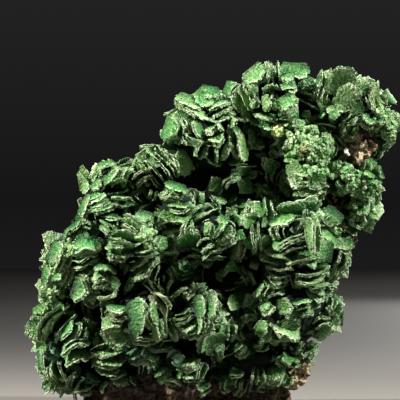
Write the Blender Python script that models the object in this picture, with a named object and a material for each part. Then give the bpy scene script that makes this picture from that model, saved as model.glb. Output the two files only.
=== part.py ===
"""A torbernite specimen: square green tablets of crystal, stacked in books, crusted over a lump of brown matrix rock.

Two solids. matrix_rock is the gossan that the crystals grew on: a rough base with a slab that rises behind them to the
right. torbernite_crystals is the crust: rounded mounds of crystal with the larger books of tablets standing out of them.
Front is -Y, up is +Z, and the specimen stands on the flat underside of its rock. Sizes in the tables are millimetres.
"""

import math
import random

import bmesh
import bpy
from mathutils import Matrix, Vector

MM = 0.001

# Driving dimensions of the specimen.
CONTACT_GAP = 0.3  # clearance between rock and crust
BOOK_LIFT = 1.3  # how far a book's rim stands proud of its mound
LEAF_PITCH = 0.62  # thickness of one tablet with the gap to the next
SOLID_BOOK_ACROSS = 4.5  # books narrower than this are too small to be solids of their own
GROWN_SURFACE_VOXEL = 1.3
MOUND_FACES = 1250
ROCK_CORNERS = 26
SEED = 11

# Mounds of the crust: centre x, y, z and half widths along x, y, z.
MOUNDS = {
    "crest_left": (-0.5, -1, 54, 8.9, 9, 8.6),
    "crest_middle": (13.0, 0, 61.0, 7.0, 8, 6.8),
    "crest_right": (26, 0, 61.5, 6.2, 8, 5.6),
    "crest_end": (33, 1, 59, 3.4, 6.5, 4.6),
    "crest_tip": (36.0, 1, 55.6, 2.0, 5, 3.2),
    "pale_shoulder": (19, -2, 51.5, 6.2, 7, 5.2),
    "shaded_notch": (9, 3, 50, 6, 6, 7),
    "pale_knob": (27, -3, 45.5, 3.6, 6, 3.8),
    "right_knob": (31.2, -1, 44.6, 3.2, 6, 4.6),
    "shell_mound": (20, -4, 44.5, 6, 7, 4.2),
    "right_low_knob": (30.2, 0, 38.4, 3, 6, 3.6),
    "right_mound": (25.2, -2, 30.2, 3.4, 7, 5.4),
    "left_top": (-21.0, -2, 44.4, 4.2, 6.5, 4.2),
    "left_saddle": (-16.6, -1, 45.4, 4.4, 6, 3.6),
    "sheaf_mound": (-10.5, -3, 46, 5.6, 7, 5),
    "middle_hollow": (6, 2, 43, 9, 7, 7),
    "left_ledges": (-19.6, -6, 38.5, 5.8, 8, 4),
    "left_ledge_end": (-23.8, -3, 39, 2.8, 6, 3.6),
    "left_step": (-25.4, -2, 34, 3.4, 6, 3),
    "fan_mound": (-14, -9, 33, 7, 9, 5.6),
    "upper_middle": (-7, -6, 40, 6, 8, 4.6),
    "centre_mound": (0, -8, 34.5, 6.6, 9, 5.4),
    "spindle_mound": (8, -7, 35.5, 5.6, 8, 5.2),
    "great_shell": (18, -9, 33.4, 6.8, 9, 6.2),
    "centre_hollow": (4, -2, 26, 9, 7, 6),
    "left_shoulder": (-29, -3, 28.6, 4.6, 8, 5.6),
    "left_stack": (-24.4, -6, 30, 5.4, 8, 4.6),
    "left_round": (-21, -7, 25, 6.4, 9, 6.4),
    "left_waist": (-30.4, -1, 22.4, 4, 7, 4.4),
    "left_edge": (-31, -3, 16.4, 3.8, 8, 4.8),
    "left_nose": (-33.8, -4, 15, 2.6, 5, 2.8),
    "left_leaves": (-27, -6, 12.4, 6, 9, 5.6),
    "rose_left": (-14, -10, 18, 7.4, 10, 6),
    "rose_right": (-1, -10, 17, 7, 9.5, 6.6),
    "star_hollow": (-9, -6, 25, 6, 7, 5),
    "lower_right": (15, -9, 18.6, 8.4, 10, 7.6),
    "lower_right_edge": (22.4, -4, 18.6, 3.8, 8, 5.6),
    "lower_shells": (17, -8, 26, 6.4, 9, 4),
    "left_foot": (-30.4, -2, 7.8, 4.2, 8, 5.2),
    "left_toe": (-26.6, -3, 4, 4.6, 7, 3),
    "foot_ledge": (-19.4, -6, 9.4, 6.4, 9, 4.6),
    "foot_middle": (-5, -8, 9, 7.6, 9, 4.6),
    "foot_right": (8.6, -8, 8.8, 7.4, 9, 5.2),
    "foot_corner": (15, -5, 8.4, 4.2, 8, 5),
    "left_side": (-24, 5, 14, 8, 8.5, 10.5),
    "left_back": (-17, 5, 31, 9, 7.5, 9.5),
    "shoulder_back": (-6, 4, 45, 9, 7.5, 8),
    "crest_back": (4, 5, 54, 9, 6.5, 7.5),
    "crest_far_back": (20, 5, 59, 10, 6, 6),
    "right_back": (19.6, 4, 24, 5.4, 7, 9),
}

# Lumps of the rock: centre x, y, z and half widths along x, y, z.
ROCK_LUMPS = {
    "foot": (-6, 0, 1.5, 21, 15, 6.5),
    "foot_right": (6.8, 2, 2, 9.5, 13, 7),
    "right_ledge": (16.4, -4, 6.8, 4, 6.5, 3.6),
    "heel": (-3, 9, 9, 17, 9, 11),
    "slab_low": (2, 10, 19, 17, 8, 14),
    "slab_middle": (10, 9.5, 33, 14, 7.5, 13),
    "slab_high": (20, 7.5, 46, 12, 6.5, 10.5),
    "bare_patch": (30, 1, 51.4, 5.6, 6.5, 4.8),
    "right_gap": (25, 3, 37, 5.4, 6, 7),
}

# Books of tablets that the front shows. Each row is
#   x, z           middle of the book, seen from the front
#   run, turn      angle of its rim in the picture, and how far its face turns to the viewer, in degrees
#   across, reach  length of the rim, and from rim to root
#   leaves         tablets in the book
#   open, splay    degrees between neighbours: opening at the rim, and fanning out from one end
BOOKS = {
    "crest_left": [
        (-3.4, 58.7, -26, 15, 8.6, 6, 3, 4, 0),
        (-4.4, 60.2, -22, 50, 6.0, 5, 2, 3, 0),
        (-8.2, 55.6, 74, 25, 6.8, 6, 1, 4, 0),
        (-8.0, 54.7, 58, 8, 5.8, 5.5, 1, 0, 0),
        (-5.7, 55.6, -74, 0, 4.4, 5, 3, 0, 7),
        (-2.3, 54.7, -68, 35, 5.0, 4, 1, 0, 0),
        (-6.8, 52.4, 28, 15, 4.2, 5, 1, 0, 0),
        (-4.0, 52.5, -33, 15, 3.8, 5, 2, 3, 0),
        (1.9, 59.7, 20, 12, 6.2, 5.5, 3, 5, 0),
        (-0.3, 62.0, -12, 45, 5.5, 5, 2, 4, 0),
        (-1.2, 61.3, -20, 60, 6.0, 4, 1, 0, 0),
        (3.6, 63.6, 60, 35, 4.6, 4.4, 1, 4, 0),
        (5.3, 62.0, -62, 25, 5.6, 5, 2, 4, 0),
        (7.4, 61.4, -60, 25, 6.6, 5.5, 4, 4, 0),
        (2.0, 50.9, 76, 10, 5.0, 4.5, 3, 0, 10),
        (5.7, 52.6, -76, 25, 8.2, 5, 2, 3, 0),
        (8.3, 53.3, -85, 60, 4.8, 3, 1, 0, 0),
        (5.9, 57.2, -3, 12, 4.0, 5, 1, 0, 0),
        (8.4, 55.8, -25, 20, 4.0, 4.5, 1, 0, 0),
        (0.7, 48.9, -38, 25, 5.0, 5, 1, 0, 0),
        (0.6, 53.8, 22, 10, 4.4, 5, 3, 6, 0),
        (-1.8, 51.2, 64, 15, 4.6, 4.5, 3, 5, 0),
        (4.9, 49.1, 20, 20, 3.6, 4, 1, 0, 0),
        (5.2, 46.7, -3, 30, 3.0, 3, 1, 0, 0),
        (4.1, 56.5, 80, 0, 3.0, 4, 1, 0, 0),
        (2.2, 55.8, -52, 0, 3.0, 4, 1, 0, 0),
        (7.2, 58.3, -58, 45, 4.4, 3.4, 1, 0, 0),
    ],
    "crest_middle": [
        (9.4, 65.8, 34, 45, 6.0, 4.6, 3, 4, 0),
        (12.5, 66.2, 92, 0, 5.8, 5, 3, 3, 0),
        (8.5, 63.0, 180, 80, 2.4, 2.6, 1, 0, 0),
        (11.1, 60.6, 98, 50, 4.0, 2.4, 1, 0, 0),
        (11.4, 57.4, -14, 25, 6.0, 5, 2, 4, 0),
        (16.6, 66.8, -6, 60, 7.0, 4.5, 2, 4, 0),
        (15.8, 64.6, 5, 35, 4.0, 4, 3, 6, 0),
        (12.0, 63.4, 8, -15, 4.4, 5, 1, 0, 0),
        (19.6, 64.5, -28, 60, 4.2, 3.6, 2, 4, 0),
        (19.7, 60.6, -30, 20, 6.4, 5.5, 2, 3, 0),
        (15.3, 60.4, 38, 60, 4.6, 4, 2, 4, 0),
        (15.4, 57.6, 28, 35, 4.5, 4, 4, 5, 0),
        (11.2, 55.0, 175, 75, 2.4, 3.4, 1, 0, 0),
        (13.5, 54.9, 180, 85, 2.4, 2.4, 2, 5, 0),
        (9.6, 52.4, -25, 30, 3.4, 4, 1, 0, 0),
    ],
    "crest_right": [
        (22.7, 63.6, 80, 25, 8.0, 6, 4, 3, 0),
        (26.2, 65.0, 170, 80, 6.6, 6.4, 3, 4, 0),
        (27.2, 62.0, 160, 72, 5.8, 5, 2, 4, 0),
        (25.8, 60.4, -3, 20, 5.8, 5.5, 1, 0, 0),
        (30.8, 64.0, 150, 72, 4.4, 4, 1, 0, 0),
        (32.4, 61.4, 95, -40, 6.2, 4, 2, 4, 0),
        (32.8, 59.4, -60, 15, 6.0, 4.6, 1, 0, 0),
        (29.4, 60.0, 70, -20, 3.6, 4, 1, 0, 0),
        (33.7, 56.8, 10, 60, 3.4, 3, 1, 0, 0),
        (24.5, 58.0, 80, 50, 3.0, 2, 1, 0, 0),
        (22.6, 58.0, 70, 40, 2.0, 2, 1, 0, 0),
        (23.5, 56.2, -8, 30, 5.0, 4.5, 2, 4, 0),
        (18.8, 56.9, 15, 40, 4.0, 4, 1, 0, 0),
    ],
    "right_side": [
        (16.8, 48.8, 3, 60, 4.4, 2.6, 1, 0, 0),
        (19.6, 46.4, -8, 40, 8.0, 6, 2, 6, 0),
        (20.8, 44.6, -14, 25, 8.0, 6, 3, 5, 0),
        (19.0, 43.1, -2, 10, 5.0, 5, 2, 4, 0),
        (24.0, 33.2, -48, 25, 5.6, 4.5, 2, 4, 0),
        (26.6, 31.6, -22, 50, 4.6, 4.0, 2, 4, 0),
        (28.6, 35.8, -48, 20, 4.0, 4, 2, 5, 0),
        (30.6, 39.0, 20, 55, 3.0, 3, 1, 0, 0),
        (30.4, 38.6, 78, 35, 5.0, 3, 1, 0, 0),
        (26.4, 28.8, 70, 10, 4.4, 4, 2, 5, 0),
    ],
    "great_shell": [
        (13.2, 45.8, 76, 0, 4.0, 4, 5, 0, 4),
        (11.2, 42.9, -27, 10, 4.6, 4, 2, 5, 0),
        (13.2, 41.6, 30, 20, 2.0, 3, 1, 0, 0),
        (8.8, 38.9, -70, 40, 4.0, 3.5, 2, 4, 0),
        (12.4, 39.2, 165, 72, 4.2, 5.2, 2, 4, 0),
        (11.0, 39.0, 86, 10, 5.0, 4, 2, 3, 0),
        (17.6, 39.3, 178, 55, 9.0, 3.5, 1, 0, 0),
        (24.4, 37.6, -40, 62, 5.0, 4.6, 2, 4, 0),
        (14.4, 37.1, 13, 22, 7.0, 6, 1, 0, 0),
        (19.1, 36.9, 72, 5, 5.0, 5, 2, 3, 0),
        (20.7, 33.9, 98, 60, 8.4, 3, 2, 4, 0),
        (22.6, 30.8, 75, -60, 5.4, 4.4, 2, 4, 0),
        (16.8, 31.6, 24, 12, 6.8, 6, 6, 4, 0),
        (13.8, 29.3, -20, 50, 8.6, 4.6, 2, 4, 0),
        (19.4, 29.4, -5, 50, 4.6, 4, 2, 5, 0),
        (13.4, 32.6, 30, 30, 3.6, 4, 1, 0, 0),
        (13.2, 34.4, 100, 0, 3.0, 4, 3, 0, 8),
    ],
    "centre": [
        (5.4, 37.2, 108, 10, 3.6, 3, 4, 0, 12),
        (7.8, 37.1, 55, -30, 3.8, 3.6, 1, 0, 0),
        (6.2, 34.2, 180, 80, 2.2, 2.6, 1, 0, 0),
        (0.0, 35.2, 85, 55, 3.4, 2.2, 2, 4, 0),
        (3.1, 33.8, 45, 25, 4.8, 4.5, 5, 4, 0),
        (8.9, 33.4, 93, 8, 6.0, 5, 3, 5, 0),
        (5.9, 31.0, 72, 40, 5.0, 3.6, 2, 3, 0),
        (8.8, 28.8, 3, 15, 3.0, 3, 1, 0, 0),
        (-0.6, 31.6, 30, 10, 4.0, 5, 3, 6, 0),
        (-0.5, 28.4, -5, 40, 3.0, 3, 2, 6, 0),
        (1.8, 41.2, -25, 15, 4.2, 4, 1, 0, 0),
        (4.8, 39.8, -6, 10, 4.4, 4, 1, 0, 0),
        (2.6, 37.0, -15, 45, 3.0, 3, 2, 5, 0),
        (3.2, 45.0, 48, 0, 3.4, 4, 3, 5, 0),
        (-0.8, 38.8, 34, -25, 6.0, 5, 1, 0, 0),
        (1.0, 44.0, 65, -50, 3.6, 3.5, 1, 0, 0),
    ],
    "sheaf": [
        (-9.8, 47.3, -52, 20, 8.0, 7, 8, 3, 0),
        (-5.6, 48.6, -62, 55, 6.0, 4.5, 2, 3, 0),
        (-11.5, 49.8, -35, 30, 4.5, 4, 3, 4, 0),
        (-13.6, 48.8, -20, 20, 3.5, 4, 2, 4, 0),
        (-13.2, 45.2, 30, 35, 5.0, 5, 4, 4, 0),
        (-7.4, 42.6, -18, 35, 5.6, 5, 4, 5, 0),
        (-6.2, 39.8, 8, 30, 5.0, 5, 2, 5, 0),
        (-13.2, 40.6, 20, 50, 5.0, 4.5, 2, 4, 0),
    ],
    "left_top": [
        (-24.6, 45.0, 96, 55, 5.6, 3.4, 2, 4, 0),
        (-21.0, 47.4, 8, 45, 4.6, 4, 2, 4, 0),
        (-22.2, 43.8, 50, 30, 3.2, 3, 2, 4, 0),
        (-19.4, 45.6, 62, 55, 5.2, 3.6, 3, 4, 0),
        (-17.2, 45.8, 70, 50, 4.8, 3.2, 2, 4, 0),
        (-19.8, 42.5, 5, 18, 8.4, 6, 2, 4, 0),
        (-23.0, 40.5, 20, 18, 6.4, 5.5, 2, 5, 0),
        (-21.6, 39.0, 18, 15, 5.6, 5, 2, 5, 0),
        (-24.6, 39.4, 70, 40, 5.0, 3.4, 2, 5, 0),
        (-17.6, 40.0, -8, 20, 5.0, 5, 3, 5, 0),
        (-20.0, 36.6, -8, 20, 5.0, 5, 3, 5, 0),
        (-19.4, 37.6, -5, 35, 3.2, 3, 1, 0, 0),
    ],
    "fan": [
        (-16.4, 34.0, 153, 12, 6.0, 5, 6, 0, 5),
        (-18.0, 31.2, 4, 25, 6.2, 5.5, 4, 5, 0),
        (-18.8, 29.4, 10, 15, 5.0, 5, 3, 6, 0),
        (-12.2, 34.3, -66, 15, 6.2, 5, 3, 5, 0),
        (-13.2, 37.2, -15, 50, 4.0, 3.4, 2, 5, 0),
        (-7.2, 37.8, -11, 18, 8.0, 6, 2, 4, 0),
        (-9.0, 36.2, 22, 15, 5.0, 5, 3, 6, 0),
        (-4.4, 35.4, 88, 15, 3.6, 3.6, 4, 5, 0),
        (-9.7, 32.4, -75, 40, 3.6, 3, 2, 5, 0),
        (-4.0, 32.9, 14, -28, 7.0, 5, 1, 0, 0),
        (-8.0, 30.6, -2, -20, 4.0, 4, 1, 0, 0),
        (-12.8, 28.8, 36, 22, 7.2, 5.5, 4, 4, 0),
        (-13.2, 31.2, 20, 25, 5.0, 4.4, 3, 5, 0),
        (-3.2, 28.6, 30, 10, 7.0, 5.5, 4, 6, 0),
        (-11.6, 26.4, 68, 5, 4.6, 4, 3, 6, 0),
    ],
    "left_shoulder": [
        (-27.2, 34.6, 40, 40, 4.8, 3.6, 3, 6, 0),
        (-30.2, 30.0, 58, 45, 6.0, 4, 2, 5, 0),
        (-31.8, 26.2, 78, 40, 5.5, 4, 2, 5, 0),
        (-29.4, 28.8, 75, 30, 5.0, 3.6, 3, 5, 0),
        (-28.4, 30.6, 20, 50, 2.6, 2.4, 1, 0, 0),
        (-24.2, 31.8, 8, 50, 7.0, 5, 2, 4, 0),
        (-24.8, 28.0, 14, 10, 6.4, 6, 6, 5, 0),
        (-29.6, 26.0, 70, 35, 4.4, 3.6, 4, 5, 0),
        (-20.8, 26.2, -8, 35, 5.8, 5, 4, 5, 0),
        (-24.6, 23.2, 74, 50, 6.0, 4.4, 4, 5, 0),
        (-21.0, 22.8, 13, 12, 5.0, 5, 3, 6, 0),
        (-24.6, 18.0, -68, 25, 5.6, 4, 3, 4, 0),
        (-30.0, 19.3, 28, 60, 3.6, 3, 1, 0, 0),
        (-15.9, 24.2, 62, 40, 3.4, 2, 1, 0, 0),
    ],
    "left_foot": [
        (-35.0, 15.0, -34, 62, 4.8, 4.2, 2, 4, 0),
        (-33.6, 18.2, 30, 45, 4.0, 3.6, 3, 6, 0),
        (-30.4, 15.6, 54, 12, 8.6, 6, 4, 3, 0),
        (-27.4, 14.6, 58, 10, 5.4, 5, 3, 5, 0),
        (-31.6, 10.8, -55, 50, 4.4, 3.4, 2, 5, 0),
        (-27.0, 11.8, 17, 8, 7.0, 6, 4, 6, 0),
        (-33.2, 9.2, 92, 30, 5.6, 4, 2, 4, 0),
        (-31.4, 6.0, -70, 20, 4.6, 4, 3, 5, 0),
        (-29.2, 5.6, 0, 30, 4.6, 4, 3, 6, 0),
        (-27.2, 4.8, 60, 20, 4.0, 4, 4, 6, 0),
        (-26.4, 3.4, 8, 30, 3.6, 3.6, 2, 5, 0),
        (-21.6, 10.8, 20, 15, 5.0, 5, 3, 6, 0),
        (-20.4, 8.8, -3, 25, 6.6, 5, 4, 4, 0),
    ],
    "rose": [
        (0.8, 19.5, 86, 55, 6.0, 3, 2, 3, 0),
        (-1.9, 19.9, 96, 45, 5.2, 3, 2, 3, 0),
        (-1.3, 16.4, 84, 15, 5.0, 4, 4, 3, 0),
        (-5.0, 17.6, 24, 12, 5.2, 5, 3, 6, 0),
        (-3.8, 15.2, 24, 15, 4.0, 4.4, 3, 5, 0),
        (-0.4, 13.0, 36, -50, 6.2, 4.6, 2, 4, 0),
        (-14.8, 18.2, 98, 58, 7.8, 4, 3, 4, 0),
        (-12.2, 17.6, -75, 30, 5.4, 3, 3, 4, 0),
        (-18.2, 18.4, -4, 25, 5.2, 5, 4, 4, 0),
        (-19.6, 16.3, 8, 50, 4.2, 3.4, 2, 4, 0),
        (-18.2, 14.0, -34, 50, 6.4, 4.8, 2, 4, 0),
        (-9.9, 15.0, 92, 30, 5.0, 3, 3, 4, 0),
        (-7.2, 15.2, -56, 20, 5.2, 4, 4, 4, 0),
        (-13.0, 13.2, -4, 12, 6.0, 5, 2, 5, 0),
        (-10.0, 12.0, -3, 10, 6.4, 5, 2, 5, 0),
        (-9.6, 20.8, -42, 20, 6.0, 5, 3, 4, 0),
        (-8.8, 23.6, 76, 0, 4.0, 3.4, 5, 0, 20),
        (-11.2, 23.4, -46, 5, 4.0, 4, 2, 6, 0),
        (-4.0, 22.8, 45, 10, 4.4, 4, 4, 6, 0),
        (-13.2, 25.6, 75, 10, 3.6, 3.6, 3, 5, 0),
        (-13.0, 8.6, 10, -30, 5.0, 4, 2, 5, 0),
        (-12.0, 9.8, -30, 30, 4.0, 4, 2, 5, 0),
        (-2.4, 6.8, 70, 20, 4.4, 4, 3, 6, 0),
        (-4.2, 8.0, 10, 25, 4.0, 4, 3, 6, 0),
        (-2.8, 4.6, 6, 25, 4.4, 4, 2, 5, 0),
        (-12.6, 6.6, 85, 10, 3.0, 3, 5, 4, 0),
    ],
    "lower_right": [
        (13.6, 25.0, -8, 15, 5.6, 5, 5, 4, 0),
        (20.0, 24.8, 4, 22, 7.2, 5.5, 3, 4, 0),
        (22.0, 27.2, 12, 15, 4.0, 5, 3, 6, 0),
        (11.0, 22.8, 60, 25, 3.6, 4, 3, 5, 0),
        (14.3, 19.8, 92, 50, 4.4, 3, 2, 4, 0),
        (18.2, 19.8, 12, 15, 4.8, 4.6, 4, 5, 0),
        (21.0, 22.2, -25, 20, 4.4, 5, 4, 5, 0),
        (11.2, 19.6, 30, 30, 3.0, 3, 3, 5, 0),
        (10.8, 15.3, 72, 50, 4.6, 3.4, 3, 5, 0),
        (15.4, 15.0, -22, 45, 5.6, 4.4, 3, 5, 0),
        (15.0, 13.3, 12, 20, 4.4, 4, 1, 0, 0),
        (22.2, 16.4, 18, 15, 4.6, 5, 3, 5, 0),
        (24.4, 19.6, 60, 20, 4.0, 4, 3, 7, 0),
        (23.2, 18.0, -50, 15, 3.0, 4, 3, 6, 0),
        (4.0, 14.8, 80, 25, 3.6, 3.4, 3, 5, 0),
        (6.8, 13.4, -60, 20, 3.2, 3.4, 3, 6, 0),
        (2.6, 11.0, 50, 0, 4.0, 4, 4, 0, 8),
        (6.0, 11.2, 40, 25, 3.0, 3, 3, 5, 0),
        (10.4, 11.8, 25, 30, 3.8, 3.4, 2, 4, 0),
        (7.2, 17.8, 20, 20, 3.4, 3.4, 3, 5, 0),
        (4.2, 23.2, 8, 20, 3.2, 3, 1, 0, 0),
        (4.4, 20.4, -60, 60, 3.6, 3.4, 1, 0, 0),
        (1.4, 5.2, -20, 30, 4.0, 4, 3, 5, 0),
        (14.2, 8.6, -55, 40, 3.2, 3, 2, 5, 0),
        (13.2, 6.2, 20, 65, 4.0, 4, 2, 4, 0),
        (12.0, 4.4, -5, 50, 3.2, 2.6, 2, 5, 0),
        (9.6, 6.0, 80, 25, 3.6, 3, 3, 6, 0),
        (7.4, 4.2, 75, 15, 2.6, 3, 5, 6, 0),
        (3.4, 5.0, 10, 40, 4.0, 4, 2, 5, 0),
        (19.4, 11.4, 35, 15, 4.4, 5, 4, 5, 0),
        (18.8, 9.6, 25, 25, 4.0, 4, 3, 5, 0),
    ],
}

# Books on the sides and the back, where no picture shows them: how many to each mound that reaches there.
HIDDEN_BOOKS = 64
HIDDEN_ACROSS = (5.0, 7.0)
HIDDEN_LIFT = 2.0
HIDDEN_FROM_Y = -3.5

CRYSTAL_GREEN = (0.10, 0.26, 0.09, 1.0)
ROCK_BROWN = (0.07, 0.045, 0.03, 1.0)


def clear_scene():
    for existing in list(bpy.data.objects):
        bpy.data.objects.remove(existing)


def plain_material(name, colour, roughness):
    material = bpy.data.materials.new(name)
    material.use_nodes = True
    shader = material.node_tree.nodes["Principled BSDF"]
    shader.inputs["Base Color"].default_value = colour
    shader.inputs["Roughness"].default_value = roughness
    shader.inputs["Metallic"].default_value = 0.0
    return material


def new_object(name, bm):
    mesh = bpy.data.meshes.new(name)
    bmesh.ops.recalc_face_normals(bm, faces=bm.faces)
    bm.to_mesh(mesh)
    bm.free()
    made = bpy.data.objects.new(name, mesh)
    bpy.context.scene.collection.objects.link(made)
    return made


def apply_modifiers(target):
    """Replaces the object's mesh by the one that its modifiers make."""
    bpy.context.view_layer.update()
    evaluated = target.evaluated_get(bpy.context.evaluated_depsgraph_get())
    finished = bpy.data.meshes.new_from_object(evaluated)
    target.modifiers.clear()
    target.data = finished


def boolean(target, tool, operation, self_crossing=False):
    modifier = target.modifiers.new(operation.lower(), "BOOLEAN")
    modifier.operation = operation
    modifier.object = tool
    modifier.solver = "EXACT"
    modifier.use_self = self_crossing
    apply_modifiers(target)
    bpy.data.objects.remove(tool)


def keep_largest_body(target):
    """Drops the crumbs that a cut leaves loose."""
    bm = bmesh.new()
    bm.from_mesh(target.data)
    waiting = set(bm.verts)
    bodies = []
    while waiting:
        body = {waiting.pop()}
        edge = list(body)
        while edge:
            corner = edge.pop()
            near = {e.other_vert(corner) for e in corner.link_edges} & waiting
            waiting -= near
            body |= near
            edge.extend(near)
        bodies.append(body)
    largest = max(bodies, key=len)
    loose = [v for body in bodies if body is not largest for v in body]
    bmesh.ops.delete(bm, geom=loose, context="VERTS")
    bm.to_mesh(target.data)
    bm.free()


def rock_lump(bm, chance, centre, half, grown):
    """A broken lump: the convex hull of corners scattered over a rounded block."""
    corners = []
    for _ in range(ROCK_CORNERS):
        way = Vector([chance.gauss(0, 1) for _ in range(3)]).normalized()
        squared = max(abs(c) for c in way)
        out = (1 - 0.45) + 0.45 / squared
        out *= chance.uniform(0.86, 1.04)
        place = Vector([way[i] * half[i] * out for i in range(3)])
        place += place.normalized() * grown
        corners.append(bm.verts.new((Vector(centre) + place) * MM))
    hull = bmesh.ops.convex_hull(bm, input=corners)
    inside = [v for v in hull["geom_interior"] if isinstance(v, bmesh.types.BMVert)]
    bmesh.ops.delete(bm, geom=inside, context="VERTS")


def rock(name, grown):
    """The whole matrix rock, cut flat underneath, or a copy grown outwards for cutting the crust."""
    chance = random.Random(SEED)
    whole = None
    for centre_and_half in ROCK_LUMPS.values():
        bm = bmesh.new()
        rock_lump(bm, chance, centre_and_half[:3], centre_and_half[3:], grown)
        lump = new_object(name, bm)
        if whole is None:
            whole = lump
        else:
            boolean(whole, lump, "UNION")
    bm = bmesh.new()
    bm.from_mesh(whole.data)
    floor = Vector((0, 0, -grown * MM))
    everything = list(bm.verts) + list(bm.edges) + list(bm.faces)
    cut = bmesh.ops.bisect_plane(bm, geom=everything, plane_co=floor, plane_no=(0, 0, -1), clear_outer=True)
    rim = [e for e in cut["geom_cut"] if isinstance(e, bmesh.types.BMEdge)]
    bmesh.ops.holes_fill(bm, edges=rim)
    bmesh.ops.recalc_face_normals(bm, faces=bm.faces)
    bm.to_mesh(whole.data)
    bm.free()
    whole.name = name
    return whole


def mounds():
    """The rounded mounds run together in one skin."""
    bm = bmesh.new()
    for x, y, z, half_x, half_y, half_z in MOUNDS.values():
        place = Matrix.Translation(Vector((x, y, z)) * MM)
        size = Matrix.Diagonal((half_x * MM, half_y * MM, half_z * MM, 1))
        bmesh.ops.create_icosphere(bm, subdivisions=3, radius=1, matrix=place @ size)
    skin = new_object("mounds", bm)
    together = skin.modifiers.new("together", "REMESH")
    together.mode = "VOXEL"
    together.voxel_size = GROWN_SURFACE_VOXEL * MM
    apply_modifiers(skin)
    fewer = skin.modifiers.new("fewer", "DECIMATE")
    fewer.ratio = MOUND_FACES / (2 * len(skin.data.polygons))
    apply_modifiers(skin)
    return skin


def front_of_mounds(x, z):
    """The y at which a line of sight along +Y first meets a mound, or the middle of the nearest one."""
    nearest = None
    front = None
    for cx, cy, cz, half_x, half_y, half_z in MOUNDS.values():
        off = ((x - cx) / half_x) ** 2 + ((z - cz) / half_z) ** 2
        if nearest is None or off < nearest[0]:
            nearest = (off, cy)
        if off < 1:
            y = cy - half_y * math.sqrt(1 - off)
            front = y if front is None else min(front, y)
    return nearest[1] if front is None else front


def front_book_frame(x, z, run, turn, reach):
    """Centre of a book that the front shows, with its directions along the rim, from root to rim, and off its face."""
    run, turn = math.radians(run), math.radians(turn)
    along = Vector((math.cos(run), 0, math.sin(run)))
    off = Vector((-math.sin(run), 0, math.cos(run)))
    viewer = Vector((0, -1, 0))
    face = off * math.cos(turn) + viewer * math.sin(turn)
    growth = viewer * math.cos(turn) - off * math.sin(turn)
    y = front_of_mounds(x, z) - BOOK_LIFT + growth.dot(viewer) * reach / 2
    return Vector((x, y, z)), along, growth, face


def add_book(bm, centre, along, growth, face, across, reach, leaves, opening, splay):
    """One book of tablets as a single wedge with clipped corners, thicker where its tablets part."""
    outline = [(-0.5, -0.5), (0.5, -0.5), (0.5, 0.22), (0.28, 0.5), (-0.28, 0.5), (-0.5, 0.22)]
    opened = math.tan(math.radians(opening * (leaves - 1) / 2)) * reach
    splayed = math.tan(math.radians(splay * (leaves - 1) / 2)) * across
    sides = []
    for side in (-1, 1):
        ring = []
        for u, v in outline:
            half = 0.5 * leaves * LEAF_PITCH + opened * (v + 0.5) + splayed * (u + 0.5)
            place = centre + along * (u * across) + growth * (v * reach) + face * (side * half)
            ring.append(bm.verts.new(place * MM))
        sides.append(ring)
    bm.faces.new(sides[0][::-1])
    bm.faces.new(sides[1])
    for i in range(len(outline)):
        j = (i + 1) % len(outline)
        bm.faces.new((sides[0][i], sides[0][j], sides[1][j], sides[1][i]))


def outside_mounds(place):
    return all(
        ((place.x - m[0]) / m[3]) ** 2 + ((place.y - m[1]) / m[4]) ** 2 + ((place.z - m[2]) / m[5]) ** 2 > 0.98
        for m in MOUNDS.values()
    )


def hidden_books(bm):
    """Books on the sides, the back and the crest, standing square to the mounds at random turns."""
    chance = random.Random(SEED)
    names = sorted(MOUNDS)
    placed = []
    for _ in range(HIDDEN_BOOKS * 200):
        if len(placed) == HIDDEN_BOOKS:
            break
        cx, cy, cz, half_x, half_y, half_z = MOUNDS[chance.choice(names)]
        way = Vector([chance.gauss(0, 1) for _ in range(3)]).normalized()
        place = Vector((cx + way.x * half_x, cy + way.y * half_y, cz + way.z * half_z))
        outward = Vector((way.x / half_x, way.y / half_y, way.z / half_z)).normalized()
        spin = chance.uniform(0, math.tau)
        across = chance.uniform(*HIDDEN_ACROSS)
        hidden = place.y > HIDDEN_FROM_Y and outward.y > -0.35
        if not hidden or place.z < 5 or not outside_mounds(place):
            continue
        if any((place - other).length < 5.2 for other in placed):
            continue
        placed.append(place)
        sideways = outward.orthogonal().normalized()
        along = Matrix.Rotation(spin, 3, outward) @ sideways
        face = along.cross(outward)
        reach = across * 0.8
        centre = place + outward * (HIDDEN_LIFT - reach / 2)
        add_book(bm, centre, along, outward, face, across, reach, chance.choice((2, 3, 4)), 5, 0)


def crust():
    skin = mounds()
    bm = bmesh.new()
    for rows in BOOKS.values():
        for x, z, run, turn, across, reach, leaves, opening, splay in rows:
            if across < SOLID_BOOK_ACROSS:
                continue
            frame = front_book_frame(x, z, run, turn, reach)
            add_book(bm, *frame, across, reach, leaves, opening, splay)
    hidden_books(bm)
    books = new_object("books", bm)
    boolean(skin, books, "UNION", self_crossing=True)
    boolean(skin, rock("rock_space", 2 * CONTACT_GAP), "DIFFERENCE")
    keep_largest_body(skin)
    skin.name = "torbernite_crystals"
    skin.data.name = skin.name
    return skin


def main():
    clear_scene()
    matrix_rock = rock("matrix_rock", 0)
    matrix_rock.data.materials.append(plain_material("gossan", ROCK_BROWN, 0.9))
    crystals = crust()
    crystals.data.materials.clear()
    crystals.data.materials.append(plain_material("torbernite", CRYSTAL_GREEN, 0.45))


main()
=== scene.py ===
"""A hand specimen of torbernite: books of thin green tablets crusted over brown matrix rock.

Front is -Y, up is +Z, and the rock stands on its flat underside at z = 0. Lengths are millimetres where
nothing else is said.
"""

import math
from itertools import product

import bmesh
import bpy
import numpy as np
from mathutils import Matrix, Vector, noise
from mathutils.bvhtree import BVHTree


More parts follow.
